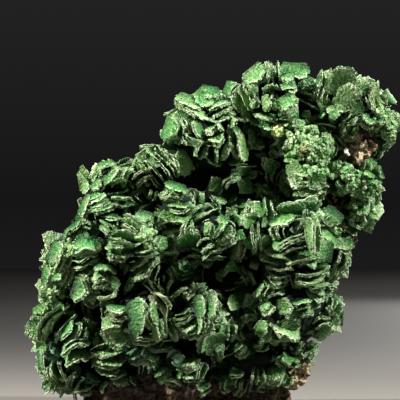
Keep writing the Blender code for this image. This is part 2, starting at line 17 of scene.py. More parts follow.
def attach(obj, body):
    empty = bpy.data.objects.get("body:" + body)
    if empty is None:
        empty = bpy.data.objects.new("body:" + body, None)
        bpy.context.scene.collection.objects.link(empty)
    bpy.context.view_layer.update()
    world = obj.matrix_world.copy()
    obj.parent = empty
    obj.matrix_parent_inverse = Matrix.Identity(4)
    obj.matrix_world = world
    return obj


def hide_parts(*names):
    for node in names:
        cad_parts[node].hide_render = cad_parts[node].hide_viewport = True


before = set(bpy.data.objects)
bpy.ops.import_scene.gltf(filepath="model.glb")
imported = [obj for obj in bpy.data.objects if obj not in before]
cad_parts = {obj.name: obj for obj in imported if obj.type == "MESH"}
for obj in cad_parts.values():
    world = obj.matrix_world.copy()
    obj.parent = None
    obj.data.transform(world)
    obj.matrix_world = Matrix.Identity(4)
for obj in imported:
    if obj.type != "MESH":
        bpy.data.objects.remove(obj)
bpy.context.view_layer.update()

# Matrix rock
# A lump of gossan, the brown iron-oxide rock that torbernite grows on. It was broken from the vein, so its
# surface is crumbly, pitted and matt, and it is trimmed flat underneath.

MM = 0.001
ROCK_FACES = 0.42  # size of the mesh's faces
ROCK_RELIEF = ((7.0, 0.85), (2.6, 0.70), (1.1, 0.50), (0.6, 0.34))  # width and height of its bumps
ROCK_CRUMBLE = ((2.0, 1.5), (0.9, 1.1))  # further bumps where it is stained
ROCK_PITS = (3.4, 0.9)  # spacing and depth of its pits
PIT_RADIUS = 0.42  # as a share of their spacing
TRIM_BAND = 1.4  # the relief fades out this near the trimmed underside
ROCK_GRAINS = 0.9  # width of the grains' pattern, several times that of real grains so that it shows
STAIN_CLOUDS = 2.6  # width of the clouds that break up a stain
STAIN_FADE = 1.5  # where a stain ends, as a share of its reach
ROCK_COLOURS = {
    # dark grains and light grains of the fresh rock, then of each stain
    "fresh": ("#0C0B09", "#6C5E50"),
    "limonite": ("#32281A", "#E2CC9E"),
    "haematite": ("#120D0A", "#705644"),
    # buff goethite, its light grains lightened as painted light for the bare patch, which lies in shade
    "goethite_and_painted_light": ("#3A3024", "#E6D2AA"),
}
STAINS = tuple(ROCK_COLOURS)[1:]
ROCK_STAINS = (
    # a stain, where its middle is and how far it reaches
    ("limonite", (17.6, -6.0, 5.6), (4.4, 9.0, 4.6)),
    ("limonite", (14.2, -8.0, 2.2), (2.0, 5.0, 3.0)),
    ("haematite", (-9.6, -9.0, 1.6), (5.0, 6.0, 2.4)),
    ("haematite", (2.0, -9.0, 1.4), (4.0, 6.0, 2.0)),
    # goethite stain, also painted light on the bare patch in shade
    ("goethite_and_painted_light", (30.6, -6.0, 50.6), (5.6, 12.0, 5.4)),
    ("goethite_and_painted_light", (27.6, -6.0, 46.0), (4.0, 10.0, 4.0)),
)
SHARE, UNDER, OVER, MIXED = 0, 6, 7, 2  # a Mix node's inputs and output for colours


def linear(hex_colour):
    """An sRGB hex colour as linear RGBA."""
    parts = [int(hex_colour[i : i + 2], 16) / 255 for i in (1, 3, 5)]
    return tuple(c / 12.92 if c <= 0.04045 else ((c + 0.055) / 1.055) ** 2.4 for c in parts) + (1.0,)


def add_node(owner, kind, inputs, **settings):
    """A node of a material or the world, with its settings and its inputs set or linked."""
    node = owner.node_tree.nodes.new(kind)
    for name, value in settings.items():
        setattr(node, name, value)
    for key, value in inputs.items():
        if isinstance(value, bpy.types.NodeSocket):
            owner.node_tree.links.new(value, node.inputs[key])
        else:
            node.inputs[key].default_value = value
    return node


def new_material(name):
    material = bpy.data.materials.new(name)
    material.use_nodes = True
    return material, material.node_tree.nodes["Principled BSDF"]


def new_object(name, data):
    made = bpy.data.objects.new(name, data)
    bpy.context.scene.collection.objects.link(made)
    return made


def from_rough(name, rough):
    """An object made from an edit mesh, which is freed."""
    mesh = bpy.data.meshes.new(name)
    rough.to_mesh(mesh)
    rough.free()
    return new_object(name, mesh)


def evenly_faced(name, rough, face_size):
    """A new piece from a rough mesh: one skin of even small faces."""
    piece = from_rough(name, rough)
    even = piece.modifiers.new("even faces", "REMESH")
    even.mode = "VOXEL"
    even.voxel_size = face_size * MM
    graph = bpy.context.evaluated_depsgraph_get()
    piece.data = bpy.data.meshes.new_from_object(piece.evaluated_get(graph))
    piece.modifiers.clear()
    return piece


def vertex_places(piece):
    """Where a piece's vertices are, in millimetres."""
    places = np.zeros(len(piece.data.vertices) * 3)
    piece.data.vertices.foreach_get("co", places)
    return places.reshape(-1, 3) / MM


def weather(piece, relief, pits, share_of=None):
    """Pushes the surface in and out by noise, and pits it, but leaves the trimmed underside flat."""
    places = vertex_places(piece)
    normals = np.zeros(places.size)
    piece.data.vertex_normals.foreach_get("vector", normals)
    spacing, depth = pits
    heights = np.zeros(len(places))
    for i, place in enumerate(places):
        spot = Vector(place)
        heights[i] = sum(height * noise.noise(spot / width) for width, height in relief)
        distances, _ = noise.voronoi(spot / spacing)
        heights[i] -= depth * max(0.0, PIT_RADIUS - distances[0]) / PIT_RADIUS
    if share_of is not None:
        heights *= share_of(places)
    heights *= np.clip(places[:, 2] / TRIM_BAND, 0, 1)
    places += normals.reshape(-1, 3) * heights[:, None]
    places[:, 2] = np.maximum(places[:, 2], 0)
    piece.data.vertices.foreach_set("co", (places * MM).ravel())
    piece.data.update()


def stain_shares(places):
    """How far each stain tints the rock at each place."""
    shares = np.zeros((len(places), 4))
    for stain, middle, reach in ROCK_STAINS:
        distance = np.sqrt((((places - middle) / reach) ** 2).sum(1))
        column = STAINS.index(stain)
        shares[:, column] = np.maximum(shares[:, column], np.clip(STAIN_FADE - distance, 0, 1))
    return shares


solid = bmesh.new()
solid.from_mesh(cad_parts["matrix_rock"].data)
bmesh.ops.remove_doubles(solid, verts=solid.verts, dist=1e-6)
rock = evenly_faced("gossan_rock", solid, ROCK_FACES)
weather(rock, ROCK_RELIEF, ROCK_PITS)
weather(rock, ROCK_CRUMBLE, ROCK_PITS, lambda places: stain_shares(places).max(1))
rock.data.shade_flat()
shares = stain_shares(vertex_places(rock))
rock.data.attributes.new("stain", "FLOAT_COLOR", "POINT").data.foreach_set("color", shares.ravel())

gossan, gossan_shader = new_material("gossan_broken")
# Iron and manganese oxides scatter light at grain boundaries, so the rock is matt and nearly black, and
# changes from grain to grain. Limonite makes it golden at one end, haematite reddish along the foot, and
# goethite buff in the bare patch, lightened further there as painted light because the patch lies in shade.
place = add_node(gossan, "ShaderNodeTexCoord", {}).outputs["Object"]
stain = add_node(gossan, "ShaderNodeAttribute", {}, attribute_name="stain")
stains = add_node(gossan, "ShaderNodeSeparateColor", {"Color": stain.outputs["Color"]})
grain_noise = {"Vector": place, "Scale": 1 / (ROCK_GRAINS * MM), "Detail": 4.0, "Roughness": 0.7}
grain = add_node(gossan, "ShaderNodeTexNoise", grain_noise).outputs["Fac"]
cloud_noise = {"Vector": place, "Scale": 1 / (STAIN_CLOUDS * MM), "Detail": 3.0}
cloud = add_node(gossan, "ShaderNodeTexNoise", cloud_noise).outputs["Fac"]
light_grain = add_node(gossan, "ShaderNodeMapRange", {"Value": grain, "From Min": 0.36, "From Max": 0.66})
patchy = add_node(gossan, "ShaderNodeMapRange", {"Value": cloud, "From Min": 0.42, "From Max": 0.56})
for rock_kind, (dark, light) in ROCK_COLOURS.items():
    two_grains = {SHARE: light_grain.outputs[0], UNDER: linear(dark), OVER: linear(light)}
    tint = add_node(gossan, "ShaderNodeMix", two_grains, data_type="RGBA").outputs[MIXED]
    if rock_kind == "fresh":
        colour = tint
        continue
    share = {0: stains.outputs[STAINS.index(rock_kind)], 1: patchy.outputs[0]}
    stained = add_node(gossan, "ShaderNodeMath", share, operation="MULTIPLY").outputs[0]
    over_fresh = {SHARE: stained, UNDER: colour, OVER: tint}
    colour = add_node(gossan, "ShaderNodeMix", over_fresh, data_type="RGBA").outputs[MIXED]
gossan.node_tree.links.new(colour, gossan_shader.inputs["Base Color"])
gossan_shader.inputs["Roughness"].default_value = 0.9
gossan_shader.inputs["Specular IOR Level"].default_value = 0.25
pitting = add_node(gossan, "ShaderNodeBump", {"Strength": 1.0, "Distance": 0.6 * MM, "Height": grain})
gossan.node_tree.links.new(pitting.outputs["Normal"], gossan_shader.inputs["Normal"])
rock.data.materials.append(gossan)
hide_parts("matrix_rock")
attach(rock, "root")

# Massive torbernite under the tablets
# The tablets stand on a crust of the same mineral, grown in rounded mounds. It shows only deep in the gaps
# between them, where its dark green is darkened nearly to black as painted shade.

CRUST_INSET = 2.0  # how far its surface lies under the tips of the crystals
CRUST_FACES = 0.75
CRUST_RELIEF = ((2.2, 0.8), (0.9, 0.5))
CRUST_PITS = (1.7, 0.5)
CRUST_CLOUDS = 1.6  # width of its colour's pattern, about as real
THINNEST = 0.5  # a small mound keeps at least this share of its size

MOUNDS = {
    # centre x, y and z, then half widths along x, y and z
    "crest_left": (-0.5, -1, 54, 8.9, 9, 8.6),
    "crest_middle": (13.0, 0, 61.0, 7.0, 8, 6.8),
    "crest_right": (26, 0, 61.5, 6.2, 8, 5.6),
    "crest_end": (33, 1, 59, 3.4, 6.5, 4.6),
    "crest_tip": (36.0, 1, 55.6, 2.0, 5, 3.2),
    "pale_shoulder": (19, -2, 51.5, 6.2, 7, 5.2),
    "shaded_notch": (9, 3, 50, 6, 6, 7),
    "pale_knob": (27, -3, 45.5, 3.6, 6, 3.8),
    "right_knob": (31.2, -1, 44.6, 3.2, 6, 4.6),
    "shell_mound": (20, -4, 44.5, 6, 7, 4.2),
    "right_low_knob": (30.2, 0, 38.4, 3, 6, 3.6),
    "right_mound": (25.2, -2, 30.2, 3.4, 7, 5.4),
    "left_top": (-21.0, -2, 44.4, 4.2, 6.5, 4.2),
    "left_saddle": (-16.6, -1, 45.4, 4.4, 6, 3.6),
    "sheaf_mound": (-10.5, -3, 46, 5.6, 7, 5),
    "middle_hollow": (6, 2, 43, 9, 7, 7),
    "left_ledges": (-19.6, -6, 38.5, 5.8, 8, 4),
    "left_ledge_end": (-23.8, -3, 39, 2.8, 6, 3.6),
    "left_step": (-25.4, -2, 34, 3.4, 6, 3),
    "fan_mound": (-14, -9, 33, 7, 9, 5.6),
    "upper_middle": (-7, -6, 40, 6, 8, 4.6),
    "centre_mound": (0, -8, 34.5, 6.6, 9, 5.4),
    "spindle_mound": (8, -7, 35.5, 5.6, 8, 5.2),
    "great_shell": (18, -9, 33.4, 6.8, 9, 6.2),
    "centre_hollow": (4, -2, 26, 9, 7, 6),
    "left_shoulder": (-29, -3, 28.6, 4.6, 8, 5.6),
    "left_stack": (-24.4, -6, 30, 5.4, 8, 4.6),
    "left_round": (-21, -7, 25, 6.4, 9, 6.4),
    "left_waist": (-30.4, -1, 22.4, 4, 7, 4.4),
    "left_edge": (-31, -3, 16.4, 3.8, 8, 4.8),
    "left_nose": (-33.8, -4, 15, 2.6, 5, 2.8),
    "left_leaves": (-27, -6, 12.4, 6, 9, 5.6),
    "rose_left": (-14, -10, 18, 7.4, 10, 6),
    "rose_right": (-1, -10, 17, 7, 9.5, 6.6),
    "star_hollow": (-9, -6, 25, 6, 7, 5),
    "lower_right": (15, -9, 18.6, 8.4, 10, 7.6),
    "lower_right_edge": (22.4, -4, 18.6, 3.8, 8, 5.6),
    "lower_shells": (17, -8, 26, 6.4, 9, 4),
    "left_foot": (-30.4, -2, 7.8, 4.2, 8, 5.2),
    "left_toe": (-26.6, -3, 4, 4.6, 7, 3),
    "foot_ledge": (-19.4, -6, 9.4, 6.4, 9, 4.6),
    "foot_middle": (-5, -8, 9, 7.6, 9, 4.6),
    "foot_right": (8.6, -8, 8.8, 7.4, 9, 5.2),
    "foot_corner": (15, -5, 8.4, 4.2, 8, 5),
    "left_side": (-24, 5, 14, 8, 8.5, 10.5),
    "left_back": (-17, 5, 31, 9, 7.5, 9.5),
    "shoulder_back": (-6, 4, 45, 9, 7.5, 8),
    "crest_back": (4, 5, 54, 9, 6.5, 7.5),
    "crest_far_back": (20, 5, 59, 10, 6, 6),
    "right_back": (19.6, 4, 24, 5.4, 7, 9),
}


def balls_of_mounds():
    """The mounds as rough balls that run into one another, each a little smaller than its crystals reach."""
    balls = bmesh.new()
    for x, y, z, *halves in MOUNDS.values():
        half_x, half_y, half_z = (max(half - CRUST_INSET, THINNEST * half) for half in halves)
        ball = bmesh.ops.create_icosphere(balls, subdivisions=4, radius=1)
        for vertex in ball["verts"]:
            way = vertex.co.copy()
            vertex.co = Vector((x + way.x * half_x, y + way.y * half_y, z + way.z * half_z)) * MM
    return balls


crust = evenly_faced("massive_torbernite", balls_of_mounds(), CRUST_FACES)
weather(crust, CRUST_RELIEF, CRUST_PITS)

massive, massive_shader = new_material("torbernite_massive")
# Grown solid, with hardly any sheen. Its deep bottle green is darkened nearly to black as painted shade
# for the gaps between the tablets.
place = add_node(massive, "ShaderNodeTexCoord", {}).outputs["Object"]
cloud_noise = {"Vector": place, "Scale": 1 / (CRUST_CLOUDS * MM), "Detail": 4.0}
cloud = add_node(massive, "ShaderNodeTexNoise", cloud_noise)
two_greens = {SHARE: cloud.outputs["Fac"], UNDER: linear("#020603"), OVER: linear("#0F2413")}
green = add_node(massive, "ShaderNodeMix", two_greens, data_type="RGBA")
massive.node_tree.links.new(green.outputs[MIXED], massive_shader.inputs["Base Color"])
massive_shader.inputs["Roughness"].default_value = 0.8
massive_shader.inputs["Specular IOR Level"].default_value = 0.15
crust.data.materials.append(massive)
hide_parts("torbernite_crystals")
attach(crust, "root")

# Books of tablets on the front
# Torbernite cleaves like mica: each book is a stack of thin square tablets, joined at the root and parting
# towards the rim, where the worn edges catch the light. Every book that the front shows is listed one by one.

BOOK_LIFT = 1.3  # how far a book's rim stands proud of its mound
FAR_LIFT = 3.5  # the same under the right of the crest, where the mounds lie back
LEAF_PITCH = 0.62  # thickness of one tablet with the gap to the next
SHEETS = (1, 5)  # a tablet is itself one to four cleavage sheets
SHEET_THICKNESS = 0.13
SHEET_VARIES = (0.8, 1.25)  # in thickness
SHEET_PITCH = 0.17
LEAF_GAP = (0.24, 0.66)
SHARED_SHAPE = 0.6  # share of a book's tablets that have one outline, while the others have their own
TABLET_WIDTH = (0.80, 1.05)  # of its book's width
TABLET_REACH = (0.82, 1.05)
CHIPPED_SHEET = (0.70, 0.98)  # size of a stack's outer sheets, as a share of their tablet
WHOLE_SHEET = (0.92, 1.0)
TILT = 3.0  # degrees by which tablets lie out of true
SHEET_TILT = 1.5
SLIP = 0.03  # how far tablets are shifted along their book, as a share of its width
SHEET_SLIP = 0.02
CHIP_SLIP = 0.2
ROOT_HALF = 0.38  # half a tablet's width at its root, as a share of its full width
WAIST = (-0.32, 0.22)  # where a tablet's sides are widest, as a share of its reach
RIM_CORNER = (0.02, 0.38)  # how far out the corners at its rim are, as a share of its width
RIM_SLANT = 0.07
SWELL = (0.025, 0.15)  # how far a large tablet's sides swell out towards the rim
RIM_WEAR = 0.06  # share of a tablet that is worn away at a point of its outline
RAGGED = 0.016
SHEET_RAGGED = 0.012
WOBBLE = 0.07  # how far its rim bends off its plane from point to point
ARCH = (-0.18, 0.24)  # middle and spread of its bow along the rim, then towards the rim and in a wave
CURL = (0.0, 0.13)
WAVE = (0.0, 0.16)
SHEET_ARCH = 0.06
SHEET_CURL = 0.05
FLAT = (0.0, 0.0, 0.0, 0.0)  # no bend at all
CRUMBS_PER_MM = 0.55  # tiny tablets on the rim, for each millimetre of width
CRUMB_SIZE = (0.35, 0.85)
CRUMB_THICKNESS = 0.22
CRUMB_TURN = 0.7
SHIFT = 40  # how far each sheet's grain is shifted, so that no two look alike
SMALL_TABLET = 2.4  # one shorter than this stands clear of the mass, so its root gets less painted shade
BOOK_STEPS = 5  # points along each side of a tablet's outline
CHIP_STEPS = 2
CRUMB_STEPS = 1
# Rings of a tablet's mesh from one middle over the rim to the other: share of its outline, side of its plane
BOOK_RINGS = ((0.0, 0.5), (0.6, 0.5), (1.0, 0.5), (1.0, -0.5), (0.6, -0.5), (0.0, -0.5))
CHIP_RINGS = ((0.0, 0.5), (1.0, 0.5), (1.0, -0.5), (0.0, -0.5))

BOOKS = {
    # x and z of the middle, run of the rim and turn of the face in degrees, width, reach from root to rim,
    # tablets, and degrees from one tablet to the next as they open and as they fan out
    "crest_left": [
        (-3.4, 58.7, -26, 15, 8.6, 6, 3, 4, 0),
        (-4.4, 60.2, -22, 50, 6.0, 5, 2, 3, 0),
        (-8.2, 55.6, 74, 25, 6.8, 6, 1, 4, 0),
        (-8.0, 54.7, 58, 8, 5.8, 5.5, 1, 0, 0),
        (-5.7, 55.6, -74, 0, 4.4, 5, 3, 0, 7),
        (-2.3, 54.7, -68, 35, 5.0, 4, 1, 0, 0),
        (-6.8, 52.4, 28, 15, 4.2, 5, 1, 0, 0),
        (-4.0, 52.5, -33, 15, 3.8, 5, 2, 3, 0),
        (1.9, 59.7, 20, 12, 6.2, 5.5, 3, 5, 0),
        (-0.3, 62.0, -12, 45, 5.5, 5, 2, 4, 0),
        (-1.2, 61.3, -20, 60, 6.0, 4, 1, 0, 0),
        (3.6, 63.6, 60, 35, 4.6, 4.4, 1, 4, 0),
        (5.3, 62.0, -62, 25, 5.6, 5, 2, 4, 0),
        (7.4, 61.4, -60, 25, 6.6, 5.5, 4, 4, 0),
        (2.0, 50.9, 76, 10, 5.0, 4.5, 3, 0, 10),
        (5.7, 52.6, -76, 25, 8.2, 5, 2, 3, 0),
        (8.3, 53.3, -85, 60, 4.8, 3, 1, 0, 0),
        (5.9, 57.2, -3, 12, 4.0, 5, 1, 0, 0),
        (8.4, 55.8, -25, 20, 4.0, 4.5, 1, 0, 0),
        (0.7, 48.9, -38, 25, 5.0, 5, 1, 0, 0),
        (0.6, 53.8, 22, 10, 4.4, 5, 3, 6, 0),
        (-1.8, 51.2, 64, 15, 4.6, 4.5, 3, 5, 0),
        (4.9, 49.1, 20, 20, 3.6, 4, 1, 0, 0),
        (5.2, 46.7, -3, 30, 3.0, 3, 1, 0, 0),
        (4.1, 56.5, 80, 0, 3.0, 4, 1, 0, 0),
        (2.2, 55.8, -52, 0, 3.0, 4, 1, 0, 0),
        (7.2, 58.3, -58, 45, 4.4, 3.4, 1, 0, 0),
    ],
    "crest_middle": [
        (9.4, 65.8, 34, 45, 6.0, 4.6, 3, 4, 0),
        (12.5, 66.2, 92, 0, 5.8, 5, 3, 3, 0),
        (8.5, 63.0, 180, 80, 2.4, 2.6, 1, 0, 0),
        (11.1, 60.6, 98, 50, 4.0, 2.4, 1, 0, 0),
        (11.4, 57.4, -14, 25, 6.0, 5, 2, 4, 0),
        (16.6, 66.8, -6, 60, 7.0, 4.5, 2, 4, 0),
        (15.8, 64.6, 5, 35, 4.0, 4, 3, 6, 0),
        (12.0, 63.4, 8, -15, 4.4, 5, 1, 0, 0),
        (19.6, 64.5, -28, 60, 4.2, 3.6, 2, 4, 0),
        (19.7, 60.6, -30, 20, 6.4, 5.5, 2, 3, 0),
        (15.3, 60.4, 38, 60, 4.6, 4, 2, 4, 0),
        (15.4, 57.6, 28, 35, 4.5, 4, 4, 5, 0),
        (11.2, 55.0, 175, 75, 2.4, 3.4, 1, 0, 0),
        (13.5, 54.9, 180, 85, 2.4, 2.4, 2, 5, 0),
        (9.6, 52.4, -25, 30, 3.4, 4, 1, 0, 0),
    ],
    "crest_right": [
        (22.7, 63.6, 80, 25, 8.0, 6, 4, 3, 0),
        (26.2, 65.0, 170, 80, 6.6, 6.4, 3, 4, 0),
        (27.2, 62.0, 160, 72, 5.8, 5, 2, 4, 0),
        (25.8, 60.4, -3, 20, 5.8, 5.5, 1, 0, 0),
        (30.8, 64.0, 150, 72, 4.4, 4, 1, 0, 0),
        (32.4, 61.4, 95, -40, 6.2, 4, 2, 4, 0),
        (32.8, 59.4, -60, 15, 6.0, 4.6, 1, 0, 0),
        (29.4, 60.0, 70, -20, 3.6, 4, 1, 0, 0),
        (33.7, 56.8, 10, 60, 3.4, 3, 1, 0, 0),
        (24.5, 58.0, 80, 50, 3.0, 2, 1, 0, 0),
        (22.6, 58.0, 70, 40, 2.0, 2, 1, 0, 0),
        (23.5, 56.2, -8, 30, 5.0, 4.5, 2, 4, 0),
        (18.8, 56.9, 15, 40, 4.0, 4, 1, 0, 0),
    ],
    "right_side": [
        (16.8, 48.8, 3, 60, 4.4, 2.6, 1, 0, 0),
        (19.6, 46.4, -8, 40, 8.0, 6, 2, 6, 0),
        (20.8, 44.6, -14, 25, 8.0, 6, 3, 5, 0),
        (19.0, 43.1, -2, 10, 5.0, 5, 2, 4, 0),
        (24.0, 33.2, -48, 25, 5.6, 4.5, 2, 4, 0),
        (26.6, 31.6, -22, 50, 4.6, 4.0, 2, 4, 0),
        (28.6, 35.8, -48, 20, 4.0, 4, 2, 5, 0),
        (30.6, 39.0, 20, 55, 3.0, 3, 1, 0, 0),
        (30.4, 38.6, 78, 35, 5.0, 3, 1, 0, 0),
        (26.4, 28.8, 70, 10, 4.4, 4, 2, 5, 0),
    ],
    "great_shell": [
        (13.2, 45.8, 76, 0, 4.0, 4, 5, 0, 4),
        (11.2, 42.9, -27, 10, 4.6, 4, 2, 5, 0),
        (13.2, 41.6, 30, 20, 2.0, 3, 1, 0, 0),
        (8.8, 38.9, -70, 40, 4.0, 3.5, 2, 4, 0),
        (12.4, 39.2, 165, 72, 4.2, 5.2, 2, 4, 0),
        (11.0, 39.0, 86, 10, 5.0, 4, 2, 3, 0),
        (17.6, 39.3, 178, 55, 9.0, 3.5, 1, 0, 0),
        (24.4, 37.6, -40, 62, 5.0, 4.6, 2, 4, 0),
        (14.4, 37.1, 13, 22, 7.0, 6, 1, 0, 0),
        (19.1, 36.9, 72, 5, 5.0, 5, 2, 3, 0),
        (20.7, 33.9, 98, 60, 8.4, 3, 2, 4, 0),
        (22.6, 30.8, 75, -60, 5.4, 4.4, 2, 4, 0),
        (16.8, 31.6, 24, 12, 6.8, 6, 6, 4, 0),
        (13.8, 29.3, -20, 50, 8.6, 4.6, 2, 4, 0),
        (19.4, 29.4, -5, 50, 4.6, 4, 2, 5, 0),
        (13.4, 32.6, 30, 30, 3.6, 4, 1, 0, 0),
        (13.2, 34.4, 100, 0, 3.0, 4, 3, 0, 8),
    ],
    "centre": [
        (5.4, 37.2, 108, 10, 3.6, 3, 4, 0, 12),
        (7.8, 37.1, 55, -30, 3.8, 3.6, 1, 0, 0),
        (6.2, 34.2, 180, 80, 2.2, 2.6, 1, 0, 0),
        (0.0, 35.2, 85, 55, 3.4, 2.2, 2, 4, 0),
        (3.1, 33.8, 45, 25, 4.8, 4.5, 5, 4, 0),
        (8.9, 33.4, 93, 8, 6.0, 5, 3, 5, 0),
        (5.9, 31.0, 72, 40, 5.0, 3.6, 2, 3, 0),
        (8.8, 28.8, 3, 15, 3.0, 3, 1, 0, 0),
        (-0.6, 31.6, 30, 10, 4.0, 5, 3, 6, 0),
        (-0.5, 28.4, -5, 40, 3.0, 3, 2, 6, 0),
        (1.8, 41.2, -25, 15, 4.2, 4, 1, 0, 0),
        (4.8, 39.8, -6, 10, 4.4, 4, 1, 0, 0),
        (2.6, 37.0, -15, 45, 3.0, 3, 2, 5, 0),
        (3.2, 45.0, 48, 0, 3.4, 4, 3, 5, 0),
        (-0.8, 38.8, 34, -25, 6.0, 5, 1, 0, 0),
        (1.0, 44.0, 65, -50, 3.6, 3.5, 1, 0, 0),
    ],
    "sheaf": [
        (-9.8, 47.3, -52, 20, 8.0, 7, 8, 3, 0),
        (-5.6, 48.6, -62, 55, 6.0, 4.5, 2, 3, 0),
        (-11.5, 49.8, -35, 30, 4.5, 4, 3, 4, 0),
        (-13.6, 48.8, -20, 20, 3.5, 4, 2, 4, 0),
        (-13.2, 45.2, 30, 35, 5.0, 5, 4, 4, 0),
        (-7.4, 42.6, -18, 35, 5.6, 5, 4, 5, 0),
        (-6.2, 39.8, 8, 30, 5.0, 5, 2, 5, 0),
        (-13.2, 40.6, 20, 50, 5.0, 4.5, 2, 4, 0),
    ],
    "left_top": [
        (-24.6, 45.0, 96, 55, 5.6, 3.4, 2, 4, 0),
        (-21.0, 47.4, 8, 45, 4.6, 4, 2, 4, 0),
        (-22.2, 43.8, 50, 30, 3.2, 3, 2, 4, 0),
        (-19.4, 45.6, 62, 55, 5.2, 3.6, 3, 4, 0),
        (-17.2, 45.8, 70, 50, 4.8, 3.2, 2, 4, 0),
        (-19.8, 42.5, 5, 18, 8.4, 6, 2, 4, 0),
        (-23.0, 40.5, 20, 18, 6.4, 5.5, 2, 5, 0),
        (-21.6, 39.0, 18, 15, 5.6, 5, 2, 5, 0),
        (-24.6, 39.4, 70, 40, 5.0, 3.4, 2, 5, 0),
        (-17.6, 40.0, -8, 20, 5.0, 5, 3, 5, 0),
        (-20.0, 36.6, -8, 20, 5.0, 5, 3, 5, 0),
        (-19.4, 37.6, -5, 35, 3.2, 3, 1, 0, 0),
    ],
    "fan": [
        (-16.4, 34.0, 153, 12, 6.0, 5, 6, 0, 5),
        (-18.0, 31.2, 4, 25, 6.2, 5.5, 4, 5, 0),
        (-18.8, 29.4, 10, 15, 5.0, 5, 3, 6, 0),
        (-12.2, 34.3, -66, 15, 6.2, 5, 3, 5, 0),
        (-13.2, 37.2, -15, 50, 4.0, 3.4, 2, 5, 0),
        (-7.2, 37.8, -11, 18, 8.0, 6, 2, 4, 0),
        (-9.0, 36.2, 22, 15, 5.0, 5, 3, 6, 0),
        (-4.4, 35.4, 88, 15, 3.6, 3.6, 4, 5, 0),
        (-9.7, 32.4, -75, 40, 3.6, 3, 2, 5, 0),
        (-4.0, 32.9, 14, -28, 7.0, 5, 1, 0, 0),
        (-8.0, 30.6, -2, -20, 4.0, 4, 1, 0, 0),
        (-12.8, 28.8, 36, 22, 7.2, 5.5, 4, 4, 0),
        (-13.2, 31.2, 20, 25, 5.0, 4.4, 3, 5, 0),
        (-3.2, 28.6, 30, 10, 7.0, 5.5, 4, 6, 0),
        (-11.6, 26.4, 68, 5, 4.6, 4, 3, 6, 0),
    ],
    "left_shoulder": [
        (-27.2, 34.6, 40, 40, 4.8, 3.6, 3, 6, 0),
        (-30.2, 30.0, 58, 45, 6.0, 4, 2, 5, 0),
        (-31.8, 26.2, 78, 40, 5.5, 4, 2, 5, 0),
        (-29.4, 28.8, 75, 30, 5.0, 3.6, 3, 5, 0),
        (-28.4, 30.6, 20, 50, 2.6, 2.4, 1, 0, 0),
        (-24.2, 31.8, 8, 50, 7.0, 5, 2, 4, 0),
        (-24.8, 28.0, 14, 10, 6.4, 6, 6, 5, 0),
        (-29.6, 26.0, 70, 35, 4.4, 3.6, 4, 5, 0),
        (-20.8, 26.2, -8, 35, 5.8, 5, 4, 5, 0),
        (-24.6, 23.2, 74, 50, 6.0, 4.4, 4, 5, 0),
        (-21.0, 22.8, 13, 12, 5.0, 5, 3, 6, 0),
        (-24.6, 18.0, -68, 25, 5.6, 4, 3, 4, 0),
        (-30.0, 19.3, 28, 60, 3.6, 3, 1, 0, 0),
        (-15.9, 24.2, 62, 40, 3.4, 2, 1, 0, 0),
    ],
    "left_foot": [
        (-35.0, 15.0, -34, 62, 4.8, 4.2, 2, 4, 0),
        (-33.6, 18.2, 30, 45, 4.0, 3.6, 3, 6, 0),
        (-30.4, 15.6, 54, 12, 8.6, 6, 4, 3, 0),
        (-27.4, 14.6, 58, 10, 5.4, 5, 3, 5, 0),
        (-31.6, 10.8, -55, 50, 4.4, 3.4, 2, 5, 0),
        (-27.0, 11.8, 17, 8, 7.0, 6, 4, 6, 0),
        (-33.2, 9.2, 92, 30, 5.6, 4, 2, 4, 0),
        (-31.4, 6.0, -70, 20, 4.6, 4, 3, 5, 0),
        (-29.2, 5.6, 0, 30, 4.6, 4, 3, 6, 0),
        (-27.2, 4.8, 60, 20, 4.0, 4, 4, 6, 0),
        (-26.4, 3.4, 8, 30, 3.6, 3.6, 2, 5, 0),
        (-21.6, 10.8, 20, 15, 5.0, 5, 3, 6, 0),
        (-20.4, 8.8, -3, 25, 6.6, 5, 4, 4, 0),
    ],
    "rose": [
        (0.8, 19.5, 86, 55, 6.0, 3, 2, 3, 0),
        (-1.9, 19.9, 96, 45, 5.2, 3, 2, 3, 0),
        (-1.3, 16.4, 84, 15, 5.0, 4, 4, 3, 0),
        (-5.0, 17.6, 24, 12, 5.2, 5, 3, 6, 0),
        (-3.8, 15.2, 24, 15, 4.0, 4.4, 3, 5, 0),
        (-0.4, 13.0, 36, -50, 6.2, 4.6, 2, 4, 0),
        (-14.8, 18.2, 98, 58, 7.8, 4, 3, 4, 0),
        (-12.2, 17.6, -75, 30, 5.4, 3, 3, 4, 0),
        (-18.2, 18.4, -4, 25, 5.2, 5, 4, 4, 0),
        (-19.6, 16.3, 8, 50, 4.2, 3.4, 2, 4, 0),
        (-18.2, 14.0, -34, 50, 6.4, 4.8, 2, 4, 0),
        (-9.9, 15.0, 92, 30, 5.0, 3, 3, 4, 0),
        (-7.2, 15.2, -56, 20, 5.2, 4, 4, 4, 0),
        (-13.0, 13.2, -4, 12, 6.0, 5, 2, 5, 0),
        (-10.0, 12.0, -3, 10, 6.4, 5, 2, 5, 0),
        (-9.6, 20.8, -42, 20, 6.0, 5, 3, 4, 0),
        (-8.8, 23.6, 76, 0, 4.0, 3.4, 5, 0, 20),
        (-11.2, 23.4, -46, 5, 4.0, 4, 2, 6, 0),
        (-4.0, 22.8, 45, 10, 4.4, 4, 4, 6, 0),
        (-13.2, 25.6, 75, 10, 3.6, 3.6, 3, 5, 0),
        (-13.0, 8.6, 10, -30, 5.0, 4, 2, 5, 0),
        (-12.0, 9.8, -30, 30, 4.0, 4, 2, 5, 0),
        (-2.4, 6.8, 70, 20, 4.4, 4, 3, 6, 0),
        (-4.2, 8.0, 10, 25, 4.0, 4, 3, 6, 0),
        (-2.8, 4.6, 6, 25, 4.4, 4, 2, 5, 0),
        (-12.6, 6.6, 85, 10, 3.0, 3, 5, 4, 0),
    ],
